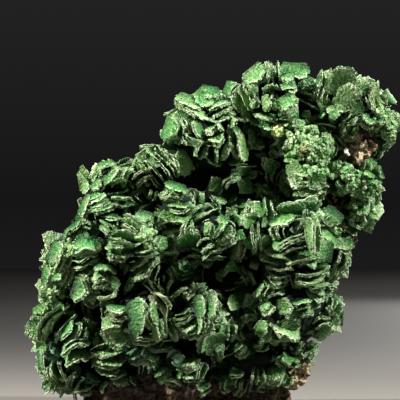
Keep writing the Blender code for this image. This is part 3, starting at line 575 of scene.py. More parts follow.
    "lower_right": [
        (13.6, 25.0, -8, 15, 5.6, 5, 5, 4, 0),
        (20.0, 24.8, 4, 22, 7.2, 5.5, 3, 4, 0),
        (22.0, 27.2, 12, 15, 4.0, 5, 3, 6, 0),
        (11.0, 22.8, 60, 25, 3.6, 4, 3, 5, 0),
        (14.3, 19.8, 92, 50, 4.4, 3, 2, 4, 0),
        (18.2, 19.8, 12, 15, 4.8, 4.6, 4, 5, 0),
        (21.0, 22.2, -25, 20, 4.4, 5, 4, 5, 0),
        (11.2, 19.6, 30, 30, 3.0, 3, 3, 5, 0),
        (10.8, 15.3, 72, 50, 4.6, 3.4, 3, 5, 0),
        (15.4, 15.0, -22, 45, 5.6, 4.4, 3, 5, 0),
        (15.0, 13.3, 12, 20, 4.4, 4, 1, 0, 0),
        (22.2, 16.4, 18, 15, 4.6, 5, 3, 5, 0),
        (24.4, 19.6, 60, 20, 4.0, 4, 3, 7, 0),
        (23.2, 18.0, -50, 15, 3.0, 4, 3, 6, 0),
        (4.0, 14.8, 80, 25, 3.6, 3.4, 3, 5, 0),
        (6.8, 13.4, -60, 20, 3.2, 3.4, 3, 6, 0),
        (2.6, 11.0, 50, 0, 4.0, 4, 4, 0, 8),
        (6.0, 11.2, 40, 25, 3.0, 3, 3, 5, 0),
        (10.4, 11.8, 25, 30, 3.8, 3.4, 2, 4, 0),
        (7.2, 17.8, 20, 20, 3.4, 3.4, 3, 5, 0),
        (4.2, 23.2, 8, 20, 3.2, 3, 1, 0, 0),
        (4.4, 20.4, -60, 60, 3.6, 3.4, 1, 0, 0),
        (1.4, 5.2, -20, 30, 4.0, 4, 3, 5, 0),
        (14.2, 8.6, -55, 40, 3.2, 3, 2, 5, 0),
        (13.2, 6.2, 20, 65, 4.0, 4, 2, 4, 0),
        (12.0, 4.4, -5, 50, 3.2, 2.6, 2, 5, 0),
        (9.6, 6.0, 80, 25, 3.6, 3, 3, 6, 0),
        (7.4, 4.2, 75, 15, 2.6, 3, 5, 6, 0),
        (3.4, 5.0, 10, 40, 4.0, 4, 2, 5, 0),
        (19.4, 11.4, 35, 15, 4.4, 5, 4, 5, 0),
        (18.8, 9.6, 25, 25, 4.0, 4, 3, 5, 0),
    ],
}

# Small books grown straight on the rock, round its bare patch on the right and along its foot
BOOKS_ON_ROCK = {
    "under_the_crest": [
        (23.4, 56.6, -8, 25, 5.0, 3.0, 1, 0, 0),
        (22.4, 58.0, 60, 50, 1.8, 1.8, 1, 0, 0),
        (24.6, 58.0, 80, 55, 2.6, 2.0, 1, 0, 0),
        (28.0, 57.2, 45, 20, 3.6, 3.0, 2, 5, 0),
        (31.6, 56.4, -35, 40, 3.6, 3.0, 2, 5, 0),
        (26.4, 54.6, 100, 15, 3.4, 3.0, 3, 5, 0),
        (19.4, 58.2, 75, 60, 1.8, 1.8, 1, 0, 0),
        (17.6, 56.2, -15, 45, 3.0, 2.6, 2, 5, 0),
        (29.4, 55.4, 20, 35, 3.0, 2.6, 1, 0, 0),
        (21.2, 55.2, -70, 30, 2.4, 2.2, 2, 6, 0),
    ],
    "round_the_patch": [
        (27.4, 46.4, 30, 30, 3.0, 2.6, 2, 5, 0),
        (29.6, 46.2, -20, 45, 2.6, 2.4, 1, 0, 0),
        (30.6, 47.8, 60, 20, 2.4, 2.4, 2, 6, 0),
        (32.4, 48.6, -35, 35, 2.8, 2.6, 2, 5, 0),
        (33.6, 50.4, 80, 25, 2.6, 2.4, 2, 6, 0),
        (35.0, 51.6, 15, 40, 2.4, 2.2, 1, 0, 0),
        (35.6, 53.4, -60, 20, 3.0, 2.6, 2, 5, 0),
        (33.6, 54.8, 10, 30, 2.8, 2.6, 2, 6, 0),
        (31.2, 54.6, -15, 20, 3.4, 2.8, 1, 0, 0),
        (28.6, 54.2, 35, 30, 3.2, 2.8, 2, 5, 0),
        (26.2, 52.8, -50, 25, 3.0, 2.6, 2, 5, 0),
        (24.6, 50.6, 70, 35, 2.8, 2.4, 2, 6, 0),
        (25.2, 48.4, 10, 30, 2.8, 2.6, 2, 5, 0),
        (36.8, 57.6, 70, 30, 3.2, 2.6, 2, 5, 0),
        (36.2, 55.6, -10, 40, 2.6, 2.4, 2, 6, 0),
        (29.4, 44.0, 50, 25, 3.0, 2.6, 2, 5, 0),
        (31.6, 45.6, -30, 30, 2.8, 2.6, 2, 6, 0),
        (33.2, 46.8, 85, 30, 2.4, 2.2, 1, 0, 0),
        (32.8, 43.4, 15, 40, 3.0, 2.6, 2, 5, 0),
        (30.8, 41.6, -60, 25, 3.2, 2.8, 2, 5, 0),
    ],
    "along_the_foot": [
        (-25.0, 2.8, 10, 30, 3.6, 3.0, 2, 6, 0),
        (-23.4, 5.4, -30, 30, 3.6, 3.0, 2, 5, 0),
        (-20.8, 3.6, 60, 25, 3.2, 3.0, 2, 6, 0),
        (-18.2, 5.8, 5, 35, 3.8, 3.2, 2, 5, 0),
        (-15.4, 4.6, -55, 25, 3.2, 3.0, 2, 6, 0),
        (-15.0, 9.6, 20, 35, 3.4, 3.0, 2, 5, 0),
        (-9.6, 6.4, 30, 30, 3.6, 3.0, 3, 6, 0),
        (-7.2, 4.4, -20, 35, 3.4, 3.0, 2, 5, 0),
        (-5.6, 6.4, 75, 20, 3.0, 2.8, 2, 6, 0),
        (-1.2, 3.4, 15, 40, 3.4, 3.0, 2, 5, 0),
        (3.6, 4.0, -70, 25, 3.0, 2.8, 3, 6, 0),
        (5.2, 6.6, 20, 30, 3.4, 3.0, 2, 5, 0),
        (5.6, 3.0, 50, 30, 2.8, 2.6, 2, 6, 0),
        (10.2, 3.2, -25, 35, 3.0, 2.8, 2, 5, 0),
        (15.0, 5.0, 60, 30, 2.8, 2.6, 2, 6, 0),
        (16.4, 8.6, -15, 35, 3.2, 2.8, 2, 5, 0),
        (17.6, 11.6, 70, 25, 3.4, 3.0, 2, 5, 0),
    ],
}

# Patches of colour that the front shows: x, z and reach. Fresh cleavage is emerald, made more vivid as
# painted light shining through thin tablets. Limonite dust is ochre, and the lowest crystals are dusted with
# a blue-green copper mineral. Pale patches are partly bruised crystals and partly painted light on faces that
# lie in shade.
PATCHES = {
    # partly the clear green of fresh cleavage, partly painted light shining through thin tablets
    "emerald": (
        (-8.2, 54.6, 1.6), (-0.4, 62.6, 1.8), (-4.0, 33.0, 2.2), (18.0, 39.8, 2.4), (6.0, 34.2, 1.2),
        (13.0, 31.8, 1.6), (-12.8, 19.4, 1.8), (-20.4, 42.2, 2.4), (-5.6, 52.4, 1.4), (15.6, 59.8, 1.8),
        (-22.2, 44.0, 1.6), (-24.0, 31.4, 2.2), (-27.0, 11.8, 2.0), (23.4, 56.2, 1.6), (-28.6, 16.0, 1.6),
        (-17.8, 31.0, 1.4),
    ),
    "ochre": (
        (18.6, 51.2, 0.7), (25.2, 41.0, 0.8), (27.4, 35.6, 0.8), (-15.0, 17.4, 1.4), (7.0, 58.2, 1.8),
        (8.0, 53.0, 1.4), (5.6, 31.0, 1.2), (32.2, 61.4, 1.6), (-12.6, 40.6, 1.2), (-12.8, 45.4, 1.6),
        (-18.2, 18.2, 1.0), (-10.0, 20.4, 1.2), (13.6, 55.0, 1.2),
    ),
    "blue": (
        (-15.4, 7.8, 2.4), (-31.8, 9.8, 1.8), (-24.8, 6.0, 2.2), (-8.6, 10.0, 2.2), (8.2, 3.6, 1.4),
        (-16.8, 1.8, 1.4),
    ),
    # partly bruised crystals, partly painted light on faces that lie in shade
    "pale": (
        (-3.2, 58.6, 1.8), (2.0, 51.0, 1.2), (7.2, 61.6, 1.6), (-5.4, 49.8, 1.6), (-24.6, 45.4, 1.8),
        (9.0, 33.8, 1.6), (19.4, 43.4, 1.6), (14.8, 29.4, 2.0), (19.6, 24.6, 2.0), (15.0, 14.8, 2.0),
        (-0.4, 13.0, 1.8), (-9.8, 15.0, 1.8), (-35.4, 14.2, 2.0), (-19.8, 16.0, 1.8), (9.2, 66.6, 1.4),
        (11.4, 60.6, 1.4), (20.4, 35.4, 1.6), (12.0, 3.8, 1.4), (-20.0, 8.8, 1.6), (-12.4, 16.6, 1.6),
        (-12.8, 34.0, 1.6), (16.9, 53.2, 2.0), (16.6, 48.5, 1.8), (36.5, 57.0, 2.2), (-31.0, 24.0, 1.8),
        (-29.0, 30.0, 1.6), (-19.0, 26.0, 1.4), (26.6, 66.4, 2.8), (27.4, 61.4, 2.6), (23.0, 65.0, 2.0),
        (33.0, 62.6, 2.0), (30.0, 66.0, 1.8),
    ),
}
PATCH_FADE = 1.7  # where a patch ends, as a share of its reach
PATCHED_TO = 4.0  # y behind which nothing is known of the colours

EAST = np.array([1.0, 0.0, 0.0])
UP = np.array([0.0, 0.0, 1.0])
TO_VIEWER = np.array([0.0, -1.0, 0.0])
FAR = 100.0  # farther than anything of the specimen
mound_table = np.array(list(MOUNDS.values()), float)
mound_centres = mound_table[:, :3]
mound_halves = mound_table[:, 3:]


def squared_shares(x, z):
    """How far a line of sight along +Y passes from each mound's middle, as a squared share of its outline."""
    across = (x - mound_centres[:, 0]) / mound_halves[:, 0]
    up = (z - mound_centres[:, 2]) / mound_halves[:, 2]
    return across**2 + up**2


def front_of_mounds(x, z):
    """The y at which a line of sight along +Y first meets a mound, or the middle of the nearest one."""
    off = squared_shares(x, z)
    met = off < 1
    if not met.any():
        return mound_centres[off.argmin(), 1]
    return (mound_centres[met, 1] - mound_halves[met, 1] * np.sqrt(1 - off[met])).min()


rock_tree = BVHTree.FromObject(rock, bpy.context.evaluated_depsgraph_get())


def front_of_all(x, z):
    """The y at which a line of sight along +Y first meets a mound or the rock."""
    met = rock_tree.ray_cast(Vector((x, -FAR, z)) * MM, Vector((0.0, 1.0, 0.0)))[0]
    return min(front_of_mounds(x, z), met.y / MM if met else FAR)


def patch_shares(place):
    """How far each kind of patch tints a tablet at this place of the front."""
    if place[1] > PATCHED_TO:
        return (0.0, 0.0, 0.0, 0.0)
    shares = []
    for patches in PATCHES.values():
        nearest = min(math.hypot(place[0] - x, place[2] - z) / reach for x, z, reach in patches)
        shares.append(min(1.0, max(0.0, PATCH_FADE - nearest)))
    return shares


def turned(first, second, angle):
    """Two vectors square to each other, turned in their own plane, the first towards the second."""
    cos, sin = math.cos(angle), math.sin(angle)
    return first * cos + second * sin, second * cos - first * sin


def ring_faces(rings, points):
    """Faces of a tablet whose outline is repeated in rings between its two middles."""
    faces = []
    inner = rings - 2
    for i in range(points):
        j = (i + 1) % points
        faces.append((0, 1 + i, 1 + j, 1 + j))
        for ring in range(inner - 1):
            a = 1 + ring * points
            b = a + points
            faces.append((a + i, b + i, b + j, a + j))
        last = 1 + (inner - 1) * points
        end = last + points
        faces.append((last + i, end, last + j, last + j))
    return np.array(faces)


def bowed(bend, u, v, size):
    """How far a tablet bows off its plane at a point: along its rim, towards its rim and in a slight wave."""
    arch, curl, wave, start = bend
    across, reach = size
    ripple = wave * np.sin(u * 7 + start) * min(1.0, across * 0.2)
    return arch * u * u * across + curl * (v + 0.5) ** 2 * reach + ripple


def unit(vector):
    return vector / np.linalg.norm(vector)


class Pile:
    """Tablets of one zone of the specimen, joined in one mesh."""

    def __init__(self, chance, paleness=0.0):
        self.chance = chance
        self.paleness = paleness
        self.places = []
        self.growths = []
        self.accents = []
        self.grains = []
        self.faces = []
        self.total = 0

    def outline(self, steps):
        """Points round a tablet: a square with two corners cut off, and rounder where it is large."""
        chance = self.chance
        low, high = chance.uniform(*WAIST, 2)
        right, left = chance.uniform(*RIM_CORNER, 2)
        slant = chance.normal(0, RIM_SLANT)
        foot = [(-ROOT_HALF, -0.5), (ROOT_HALF, -0.5)]
        head = [(0.5, low), (right, 0.5 + slant), (-left, 0.5 - slant), (-0.5, high)]
        corners = np.array(foot + head)
        if steps == BOOK_STEPS:
            swells = [(corners[2] + corners[3]) / 2, (corners[4] + corners[5]) / 2]
            swells = [point * (1 + chance.uniform(*SWELL) / np.linalg.norm(point)) for point in swells]
            corners = np.insert(corners, [3, 5], swells, axis=0)
        points = [corners[0]]
        for start, end in zip(corners[1:], np.roll(corners, -1, axis=0)[1:]):
            for step in range(steps):
                points.append(start + (end - start) * step / steps)
        points = np.array(points)
        worn = 1 - np.abs(chance.normal(0, RIM_WEAR, len(points)))[:, None]
        return points * worn + chance.normal(0, RAGGED, points.shape)

    def add_tablet(self, rim, middle, along, growth, face, size, thickness, rings, bend, tone):
        """One sheet, with what its colour follows: its growth, the patch that it lies in and its grain."""
        chance = self.chance
        flat = []
        level = []
        edge = []
        wobble = chance.normal(0, WOBBLE, len(rim))
        for scale, side in rings:
            on_rim = scale == 1.0
            ring = rim * scale if scale else np.zeros((1, 2))
            flat.append(ring)
            level.append(np.full(len(ring), side * thickness) + (wobble if on_rim else 0.0))
            edge.append(np.full(len(ring), 1.0 if on_rim else 0.0))
        flat, level, edge = np.concatenate(flat), np.concatenate(level), np.concatenate(edge)
        across, reach = size
        u, v = flat[:, 0], flat[:, 1]
        off = level + bowed(bend, u, v, size)
        place = middle + np.outer(u * across, along) + np.outer(v * reach, growth) + np.outer(off, face)
        self.places.append(place)
        # From root to rim: the material darkens the root by this as painted shade, less so on a small tablet
        rise = np.clip(v + 0.5, 0, 1)
        if reach < SMALL_TABLET:
            rise = 0.6 + 0.4 * rise
            edge = edge * chance.uniform(0.0, 0.8)
        self.growths.append(np.stack([rise, edge, np.full(len(u), tone), np.ones(len(u))], 1))
        *tints, pale = patch_shares(middle)
        self.accents.append(np.tile([*tints, max(pale, self.paleness)], (len(u), 1)))
        shift = chance.uniform(0, SHIFT, 3)
        self.grains.append(np.stack([u * across + shift[0], v * reach + shift[1], level + shift[2]], 1))
        self.faces.append(RING_FACES[(len(rings), len(rim))] + self.total)
        self.total += len(place)

    def add_book(self, root, along, growth, face, across, reach, leaves, opening, splay, steps):
        """A stack of tablets from one root. They part towards the rim, or fan out from one end."""
        chance = self.chance
        arch, curl, wave = chance.normal(*ARCH), chance.normal(*CURL), chance.normal(*WAVE)
        start = chance.uniform(0, 6)
        shape = self.outline(steps)
        end = root - along * across / 2
        thick = leaves * LEAF_PITCH
        height = -thick / 2
        while height < thick / 2:
            sheets = int(chance.integers(*SHEETS))
            middle_height = height + sheets * SHEET_PITCH / 2
            step = middle_height / LEAF_PITCH
            height += sheets * SHEET_PITCH + chance.uniform(*LEAF_GAP)
            up, off = turned(growth, face, math.radians(opening * step + chance.normal(0, TILT)))
            side, off = turned(along, off, math.radians(splay * step + chance.normal(0, TILT)))
            own_shape = shape if chance.uniform() < SHARED_SHAPE else self.outline(steps)
            bend = (arch + chance.normal(0, SHEET_ARCH), curl + chance.normal(0, SHEET_CURL), wave, start)
            width = across * chance.uniform(*TABLET_WIDTH)
            moved = across * chance.normal(0, SLIP)
            size = (width, reach * chance.uniform(*TABLET_REACH))
            tone = chance.uniform()
            for sheet in range(sheets):
                level = sheet - (sheets - 1) / 2
                outer = abs(level) == (sheets - 1) / 2
                grown, off_sheet = turned(up, off, math.radians(chance.normal(0, SHEET_TILT)))
                kept = chance.uniform(*(CHIPPED_SHEET if outer and sheets > 2 else WHOLE_SHEET))
                rim = own_shape * kept + chance.normal(0, SHEET_RAGGED, own_shape.shape)
                shift = face * middle_height + off * (level * SHEET_PITCH)
                slip = chance.normal(0, SHEET_SLIP + CHIP_SLIP * (1 - kept)) * across
                middle = end + side * (across / 2 + moved + slip) + grown * (size[1] / 2) + shift
                whole = outer and steps == BOOK_STEPS
                rings = BOOK_RINGS if whole else CHIP_RINGS
                thickness = SHEET_THICKNESS * chance.uniform(*SHEET_VARIES)
                self.add_tablet(rim, middle, side, grown, off_sheet, size, thickness, rings, bend, tone)
                if whole:
                    self.add_crumbs(rim, middle, side, grown, off_sheet, size, bend)

    def add_crumbs(self, rim, middle, along, growth, face, size, bend):
        """Tiny tablets grown on the rim of a tablet, turned any way."""
        chance = self.chance
        for _ in range(int(chance.poisson(size[0] * CRUMBS_PER_MM))):
            u, v = rim[chance.integers(len(rim))] * chance.uniform(0.8, 1.0)
            if v < 0:
                continue
            place = middle + along * (u * size[0]) + growth * (v * size[1]) + face * bowed(bend, u, v, size)
            grown = unit(growth + chance.normal(0, CRUMB_TURN, 3))
            off = unit(np.cross(grown, chance.normal(0, 1, 3)))
            side = np.cross(off, grown)
            crumb = chance.uniform(*CRUMB_SIZE, 2)
            tone = chance.uniform(0.3, 1.0)
            shape = self.outline(CRUMB_STEPS)
            self.add_tablet(shape, place, side, grown, off, crumb, CRUMB_THICKNESS, CHIP_RINGS, FLAT, tone)

    def finish(self, name, material):
        """Joins the tablets in one piece of the crust."""
        quads = np.concatenate(self.faces)
        counts = np.where(quads[:, 2] == quads[:, 3], 3, 4)
        corners = np.concatenate([quad[:count] for quad, count in zip(quads, counts)])
        places = np.concatenate(self.places) * MM
        mesh = bpy.data.meshes.new(name)
        mesh.vertices.add(len(places))
        mesh.vertices.foreach_set("co", places.astype(np.float32).ravel())
        mesh.loops.add(len(corners))
        mesh.loops.foreach_set("vertex_index", corners.astype(np.int32))
        mesh.polygons.add(len(counts))
        mesh.polygons.foreach_set("loop_start", (np.cumsum(counts) - counts).astype(np.int32))
        mesh.update(calc_edges=True)
        for attribute, kind, field, rows in (
            ("growth", "FLOAT_COLOR", "color", self.growths),
            ("accent", "FLOAT_COLOR", "color", self.accents),
            ("grain", "FLOAT_VECTOR", "vector", self.grains),
        ):
            values = np.concatenate(rows).astype(np.float32).ravel()
            mesh.attributes.new(attribute, kind, "POINT").data.foreach_set(field, values)
        mesh.validate()
        mesh.shade_flat()
        mesh.materials.append(material)
        piece = new_object(name, mesh)
        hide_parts("torbernite_crystals")
        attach(piece, "root")


RING_FACES = {
    # for each kind of tablet: large ones have seven sides after their root, small ones five
    (len(rings), points): ring_faces(len(rings), points)
    for rings in (BOOK_RINGS, CHIP_RINGS)
    for points in (1 + 7 * BOOK_STEPS, 1 + 5 * CHIP_STEPS, 1 + 5 * CRUMB_STEPS)
}

tablet, tablet_shader = new_material("torbernite_cleavage_tablet")
# Torbernite is clear green, and its cleavage faces have a soft pearly sheen. Growth lines streak them from
# root to rim, about 0.3 mm apart, coarser than real ones. Bruises and dust make them paler. The worn rims
# scatter light and are nearly white, whitened further as a painted highlight, and the root is darkened as
# painted shade.
LINE_STRETCH = (2.2, 0.35, 6.0)  # across the tablet, from root to rim, and from sheet to sheet
LINE_SCALE = 1.5  # growth lines per millimetre before that stretch
BRUISE_SCALE = 2.3  # bruises per millimetre
PALE_DUST = 0.16  # how much dust a pale patch and a pale tone add, and how much deeper a tone makes the green
TONE_DUST = 0.36
TONE_DEPTH = 0.4
growth = add_node(tablet, "ShaderNodeAttribute", {}, attribute_name="growth").outputs["Color"]
accent = add_node(tablet, "ShaderNodeAttribute", {}, attribute_name="accent").outputs
sheet = add_node(tablet, "ShaderNodeAttribute", {}, attribute_name="grain").outputs["Vector"]
rise, rim, tone = add_node(tablet, "ShaderNodeSeparateColor", {"Color": growth}).outputs
emerald, ochre, blue = add_node(tablet, "ShaderNodeSeparateColor", {"Color": accent["Color"]}).outputs
pale = accent["Alpha"]
stretched = add_node(tablet, "ShaderNodeVectorMath", {0: sheet, 1: LINE_STRETCH}, operation="MULTIPLY")
line_noise = {"Vector": stretched.outputs[0], "Scale": LINE_SCALE, "Detail": 4.0, "Roughness": 0.7}
lines = add_node(tablet, "ShaderNodeTexNoise", line_noise).outputs["Fac"]
bruise_noise = {"Vector": sheet, "Scale": BRUISE_SCALE, "Detail": 3.0}
bruises = add_node(tablet, "ShaderNodeTexNoise", bruise_noise).outputs["Fac"]
bruised = add_node(tablet, "ShaderNodeMath", {0: pale, 1: PALE_DUST, 2: bruises}, operation="MULTIPLY_ADD")
dusted = add_node(
    tablet, "ShaderNodeMath", {0: tone, 1: TONE_DUST, 2: bruised.outputs[0]}, operation="MULTIPLY_ADD"
).outputs[0]
SHARES = {
    # what each share of the colour follows, where that starts and ends, and the share at either end
    "streaked": (lines, 0.38, 0.60, 0.0, 0.8),
    "lined": (lines, 0.48, 0.60, 0.0, 0.75),
    "dusty": (dusted, 0.62, 0.88, 0.0, 0.5),
    "bruised": (bruises, 0.38, 0.60, 0.1, 1.0),
    # growth lines fade out towards the root, under its painted shade
    "grown_free": (rise, 0.15, 0.85, 0.0, 1.0),
    # painted shade darkening the root
    "painted_root_shade": (rise, 0.15, 0.85, 1.0, 0.0),
    "near_rim": (rise, 0.35, 0.90, 0.0, 0.7),
}
amounts = {}
for name, (value, low, high, first, last) in SHARES.items():
    limits = {"Value": value, "From Min": low, "From Max": high, "To Min": first, "To Max": last}
    amounts[name] = add_node(tablet, "ShaderNodeMapRange", limits).outputs[0]
for name, first, second in (
    ("emerald", emerald, 0.65),
    ("blue", blue, 0.5),
    ("lined", amounts["lined"], amounts["grown_free"]),
    ("worn", amounts["bruised"], amounts["near_rim"]),
):
    factors = {0: first, 1: second}
    amounts[name] = add_node(tablet, "ShaderNodeMath", factors, operation="MULTIPLY").outputs[0]
# the rims' pale share: partly wear, partly a painted highlight
worn_and_highlit_rim = add_node(tablet, "ShaderNodeMath", {0: rim, 1: amounts["worn"]}, operation="MULTIPLY").outputs[0]
deeper = add_node(
    tablet, "ShaderNodeMath", {0: tone, 1: TONE_DEPTH, 2: amounts["streaked"]}, operation="MULTIPLY_ADD"
).outputs[0]
colour = linear("#188A34")
mint = linear("#589440")
for share_of_dust, dust_colour in ((pale, linear("#8CB674")), (ochre, linear("#868058"))):
    coat = {SHARE: share_of_dust, UNDER: mint, OVER: dust_colour}
    mint = add_node(tablet, "ShaderNodeMix", coat, data_type="RGBA").outputs[MIXED]
for share_of_coat, coat_colour in (
    (deeper, linear("#063C10")),
    # emerald: own green made more vivid as painted light through thin tablets
    (amounts["emerald"], linear("#0E8236")),
    # painted shade at the root
    (amounts["painted_root_shade"], linear("#04300C")),
    (amounts["dusty"], mint),
    (amounts["lined"], linear("#9CC07C")),
    # rims whitened, partly by wear and partly as a painted highlight
    (worn_and_highlit_rim, linear("#DEE4C8")),
    (amounts["blue"], linear("#24505C")),
):
    coat = {SHARE: share_of_coat, UNDER: colour, OVER: coat_colour}
    colour = add_node(tablet, "ShaderNodeMix", coat, data_type="RGBA").outputs[MIXED]
tablet.node_tree.links.new(colour, tablet_shader.inputs["Base Color"])
tablet_shader.inputs["Roughness"].default_value = 0.5
tablet_shader.inputs["IOR"].default_value = 1.59
tablet_shader.inputs["Specular IOR Level"].default_value = 0.2
relief = add_node(tablet, "ShaderNodeBump", {"Strength": 1.0, "Distance": 0.6 * MM, "Height": bruises})
tablet.node_tree.links.new(relief.outputs["Normal"], tablet_shader.inputs["Normal"])


def front_book(pile, row, lift):
    """A book of the table: where it stands on its mound, and which way it grows."""
    x, z, run, turn, across, reach, leaves, opening, splay = row
    along, off = turned(EAST, UP, math.radians(run))
    face, growth = turned(off, TO_VIEWER, math.radians(turn))
    y = front_of_all(x, z) - lift + growth.dot(TO_VIEWER) * reach / 2
    root = np.array([x, y, z]) - growth * reach / 2
    pile.add_book(root, along, growth, face, across, reach, leaves, opening, splay, BOOK_STEPS)


chance = np.random.default_rng(5)
for zone, rows in {**BOOKS, **BOOKS_ON_ROCK}.items():
    pile = Pile(chance)
    for row in rows:
        front_book(pile, row, FAR_LIFT if zone == "under_the_crest" else BOOK_LIFT)
    pile.finish("books_" + zone, tablet)

# Sugary patches
# In places the torbernite is a crust of small mint-green grains instead of books: tablets about a millimetre
# across, turned at random, most of them towards the front.

GRAINY_PATCHES = (
    # x, z and half widths of each patch
    (19.6, 52.0, 4.6, 3.8),
    (22.4, 48.6, 4.4, 2.6),
    (29.4, 42.4, 3.8, 4.4),
    (35.4, 57.0, 2.6, 3.4),
    (33.6, 53.8, 4.0, 1.4),
    (-31.6, 25.0, 2.0, 5.0),
    (-28.6, 31.4, 2.2, 1.8),
    (-12.4, 34.0, 1.8, 1.6),
    (12.8, 4.8, 2.0, 2.0),
    (-35.4, 14.0, 1.6, 2.4),
    (27.6, 50.6, 2.6, 1.4),
    (-34.0, 20.0, 1.4, 2.6),
    (26.0, 36.0, 2.4, 2.0),
    (24.2, 52.8, 2.6, 2.2),
    (16.6, 56.2, 1.8, 1.4),
)
GRAIN_PALENESS = 0.7
GRAINS_PER_SQUARE = 3.6  # for each square millimetre
GRAIN_SPREAD = 0.62  # how far they stray from the middle, as a share of the half widths
GRAIN_LIFT = (-0.4, 1.0)  # how far they stand out of the front of their mound
GRAIN_SIZE = (0.7, 1.6)
GRAIN_THICKNESS = 0.6
GRAIN_WAY = (0.0, -0.7, 0.5)  # most grow towards the front and up
GRAIN_TURN = 0.55  # how far they stray from that way
CLEAR_OF_OUTLINE = 0.8  # squared share of a mound's outline within which a grain has the mound behind it

chance = np.random.default_rng(21)
pile = Pile(chance, GRAIN_PALENESS)
for middle_x, middle_z, half_x, half_z in GRAINY_PATCHES:
    for _ in range(int(math.pi * half_x * half_z * GRAINS_PER_SQUARE)):
        bearing, spread = chance.uniform(0, 2 * math.pi), abs(chance.normal(0, GRAIN_SPREAD))
        x = middle_x + half_x * spread * math.cos(bearing)
        z = middle_z + half_z * spread * math.sin(bearing)
        if squared_shares(x, z).min() >= CLEAR_OF_OUTLINE:
            continue
        place = np.array([x, front_of_all(x, z) - chance.uniform(*GRAIN_LIFT), z])
        grown = unit(np.array(GRAIN_WAY) + chance.normal(0, GRAIN_TURN, 3))
        face = unit(np.cross(grown, chance.normal(0, 1, 3)))
        side = np.cross(face, grown)
        size = chance.uniform(*GRAIN_SIZE, 2)
        tone = chance.uniform(0.2, 1.0)
        shape = pile.outline(CRUMB_STEPS)
        pile.add_tablet(shape, place, side, grown, face, size, GRAIN_THICKNESS, CHIP_RINGS, FLAT, tone)
pile.finish("grainy_patches", tablet)

# Stray grains among the tablets
# A yellow-green pea of another uranium mica by the shoulder, a fleck of white quartz and crumbs of limonite.

STRAY_GRAINS = {
    # x, z and radius of each grain
    "yellow_green_pea": ((13.6, 55.0, 1.2),),
    "quartz_fleck": ((27.3, 50.8, 0.6), (27.8, 50.1, 0.45)),
    "limonite_crumbs": (
        (18.8, 51.4, 0.3), (18.3, 50.9, 0.36), (18.0, 50.3, 0.26), (19.0, 50.6, 0.22), (25.3, 41.0, 0.32),
        (24.8, 41.4, 0.24), (25.0, 40.6, 0.22), (27.4, 35.6, 0.3), (27.1, 35.1, 0.22), (17.2, 54.4, 0.26),
    ),
}
GRAIN_FINISHES = {
    # material of each kind of grain, all earthy or waxy and so nearly matt, its colour, and a slot that is
    # not used
    "yellow_green_pea": ("uranium_mica_waxy", "#B9CE88", "torbernite"),
    "quartz_fleck": ("quartz_milky", "#D8DACE", "gossan"),
    "limonite_crumbs": ("limonite_earthy", "#8C6E48", "gossan"),
}
STRAY_LIFT = 1.9
PEA_RADIUS = 1.0  # a grain larger than this has finer faces
LUMPINESS = 0.7
LUMPS = 1.9  # lumps across a grain

for name, grains in STRAY_GRAINS.items():
    lumps = bmesh.new()
    for x, z, radius in grains:
        middle = Vector((x, front_of_all(x, z) - STRAY_LIFT, z))
        fineness = 3 if radius > PEA_RADIUS else 1
        ball = bmesh.ops.create_icosphere(lumps, subdivisions=fineness, radius=radius)
        for vertex in ball["verts"]:
            bump = noise.noise(vertex.co * LUMPS / radius + Vector((x, 0, z)))
            vertex.co = (vertex.co * (1 + LUMPINESS * bump) + middle) * MM
    piece = from_rough(name, lumps)
    finish, grain_colour, slot = GRAIN_FINISHES[name]
    grain_material, grain_shader = new_material(finish)
    grain_shader.inputs["Base Color"].default_value = linear(grain_colour)
    grain_shader.inputs["Roughness"].default_value = 0.7
    piece.data.materials.append(grain_material)
    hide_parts("torbernite_crystals")
    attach(piece, "root")

# Small tablets between the books, on both sides and over the edges of the back
# They are the same crystals, grown in every gap and turned every way. Each stands square to the mound that it
# grew on, give or take, in a small book of its own.

POINTS_PER_SQUARE = 3.0  # tried on each square millimetre of the mounds before they are thinned out
SKIN = 0.985  # a point this far out or farther is on the mounds' common surface
RUN_TOGETHER = 5.0  # how fast the way out of one mound gives way to that of the next
GAP_SPACING = 1.9  # between the small books in the gaps, then on the sides and the back
HIDDEN_SPACING = 2.1
CELL = 2.0  # cells in which near points are looked for
FRONT_TURN = 1.6  # how fast the front gives way to the sides as the surface turns
FRONTAL = 0.6  # share from which a point counts as seen from the front
GAP_LIFT = -2.9  # how far a small book in a gap stands proud of its mound
RISE_WHEN_CLEAR = 1.1  # how fast they rise with their distance from the books on the front
HIGHEST_RISE = 2.6
HIDDEN_LIFT = 1.0  # how far one on the sides or the back does
HIDDEN_CLEAR = 2.0  # what counts there as its distance from the books on the front
LIFT_VARIES = 0.4
GAP_WIDTH = (2.2, 4.4)
HIDDEN_WIDTH = (3.0, 6.0)
SMALL_LEAVES = (1, 4)  # one to three tablets
SMALL_REACH = (0.75, 1.0)  # as a share of the width
SMALL_OPENING = 7.0
DRIFT_WIDTH = 7.0  # neighbours over about this distance lie much the same way
DRIFT = 4.0  # how far that way turns, in radians
TURN_VARIES = 0.7
LEAN_VARIES = 0.6
LOWEST_CRYSTAL = 1.8  # height below which none grows
ROCK_CLEARANCE = 0.2  # none grows nearer to the rock than this
HALF_HEIGHT = 30.0  # where the front's small books part into two pieces
COVERED = 0.44  # share of its width that a front book covers to each side of its middle
BOOK_MARGIN = 0.2


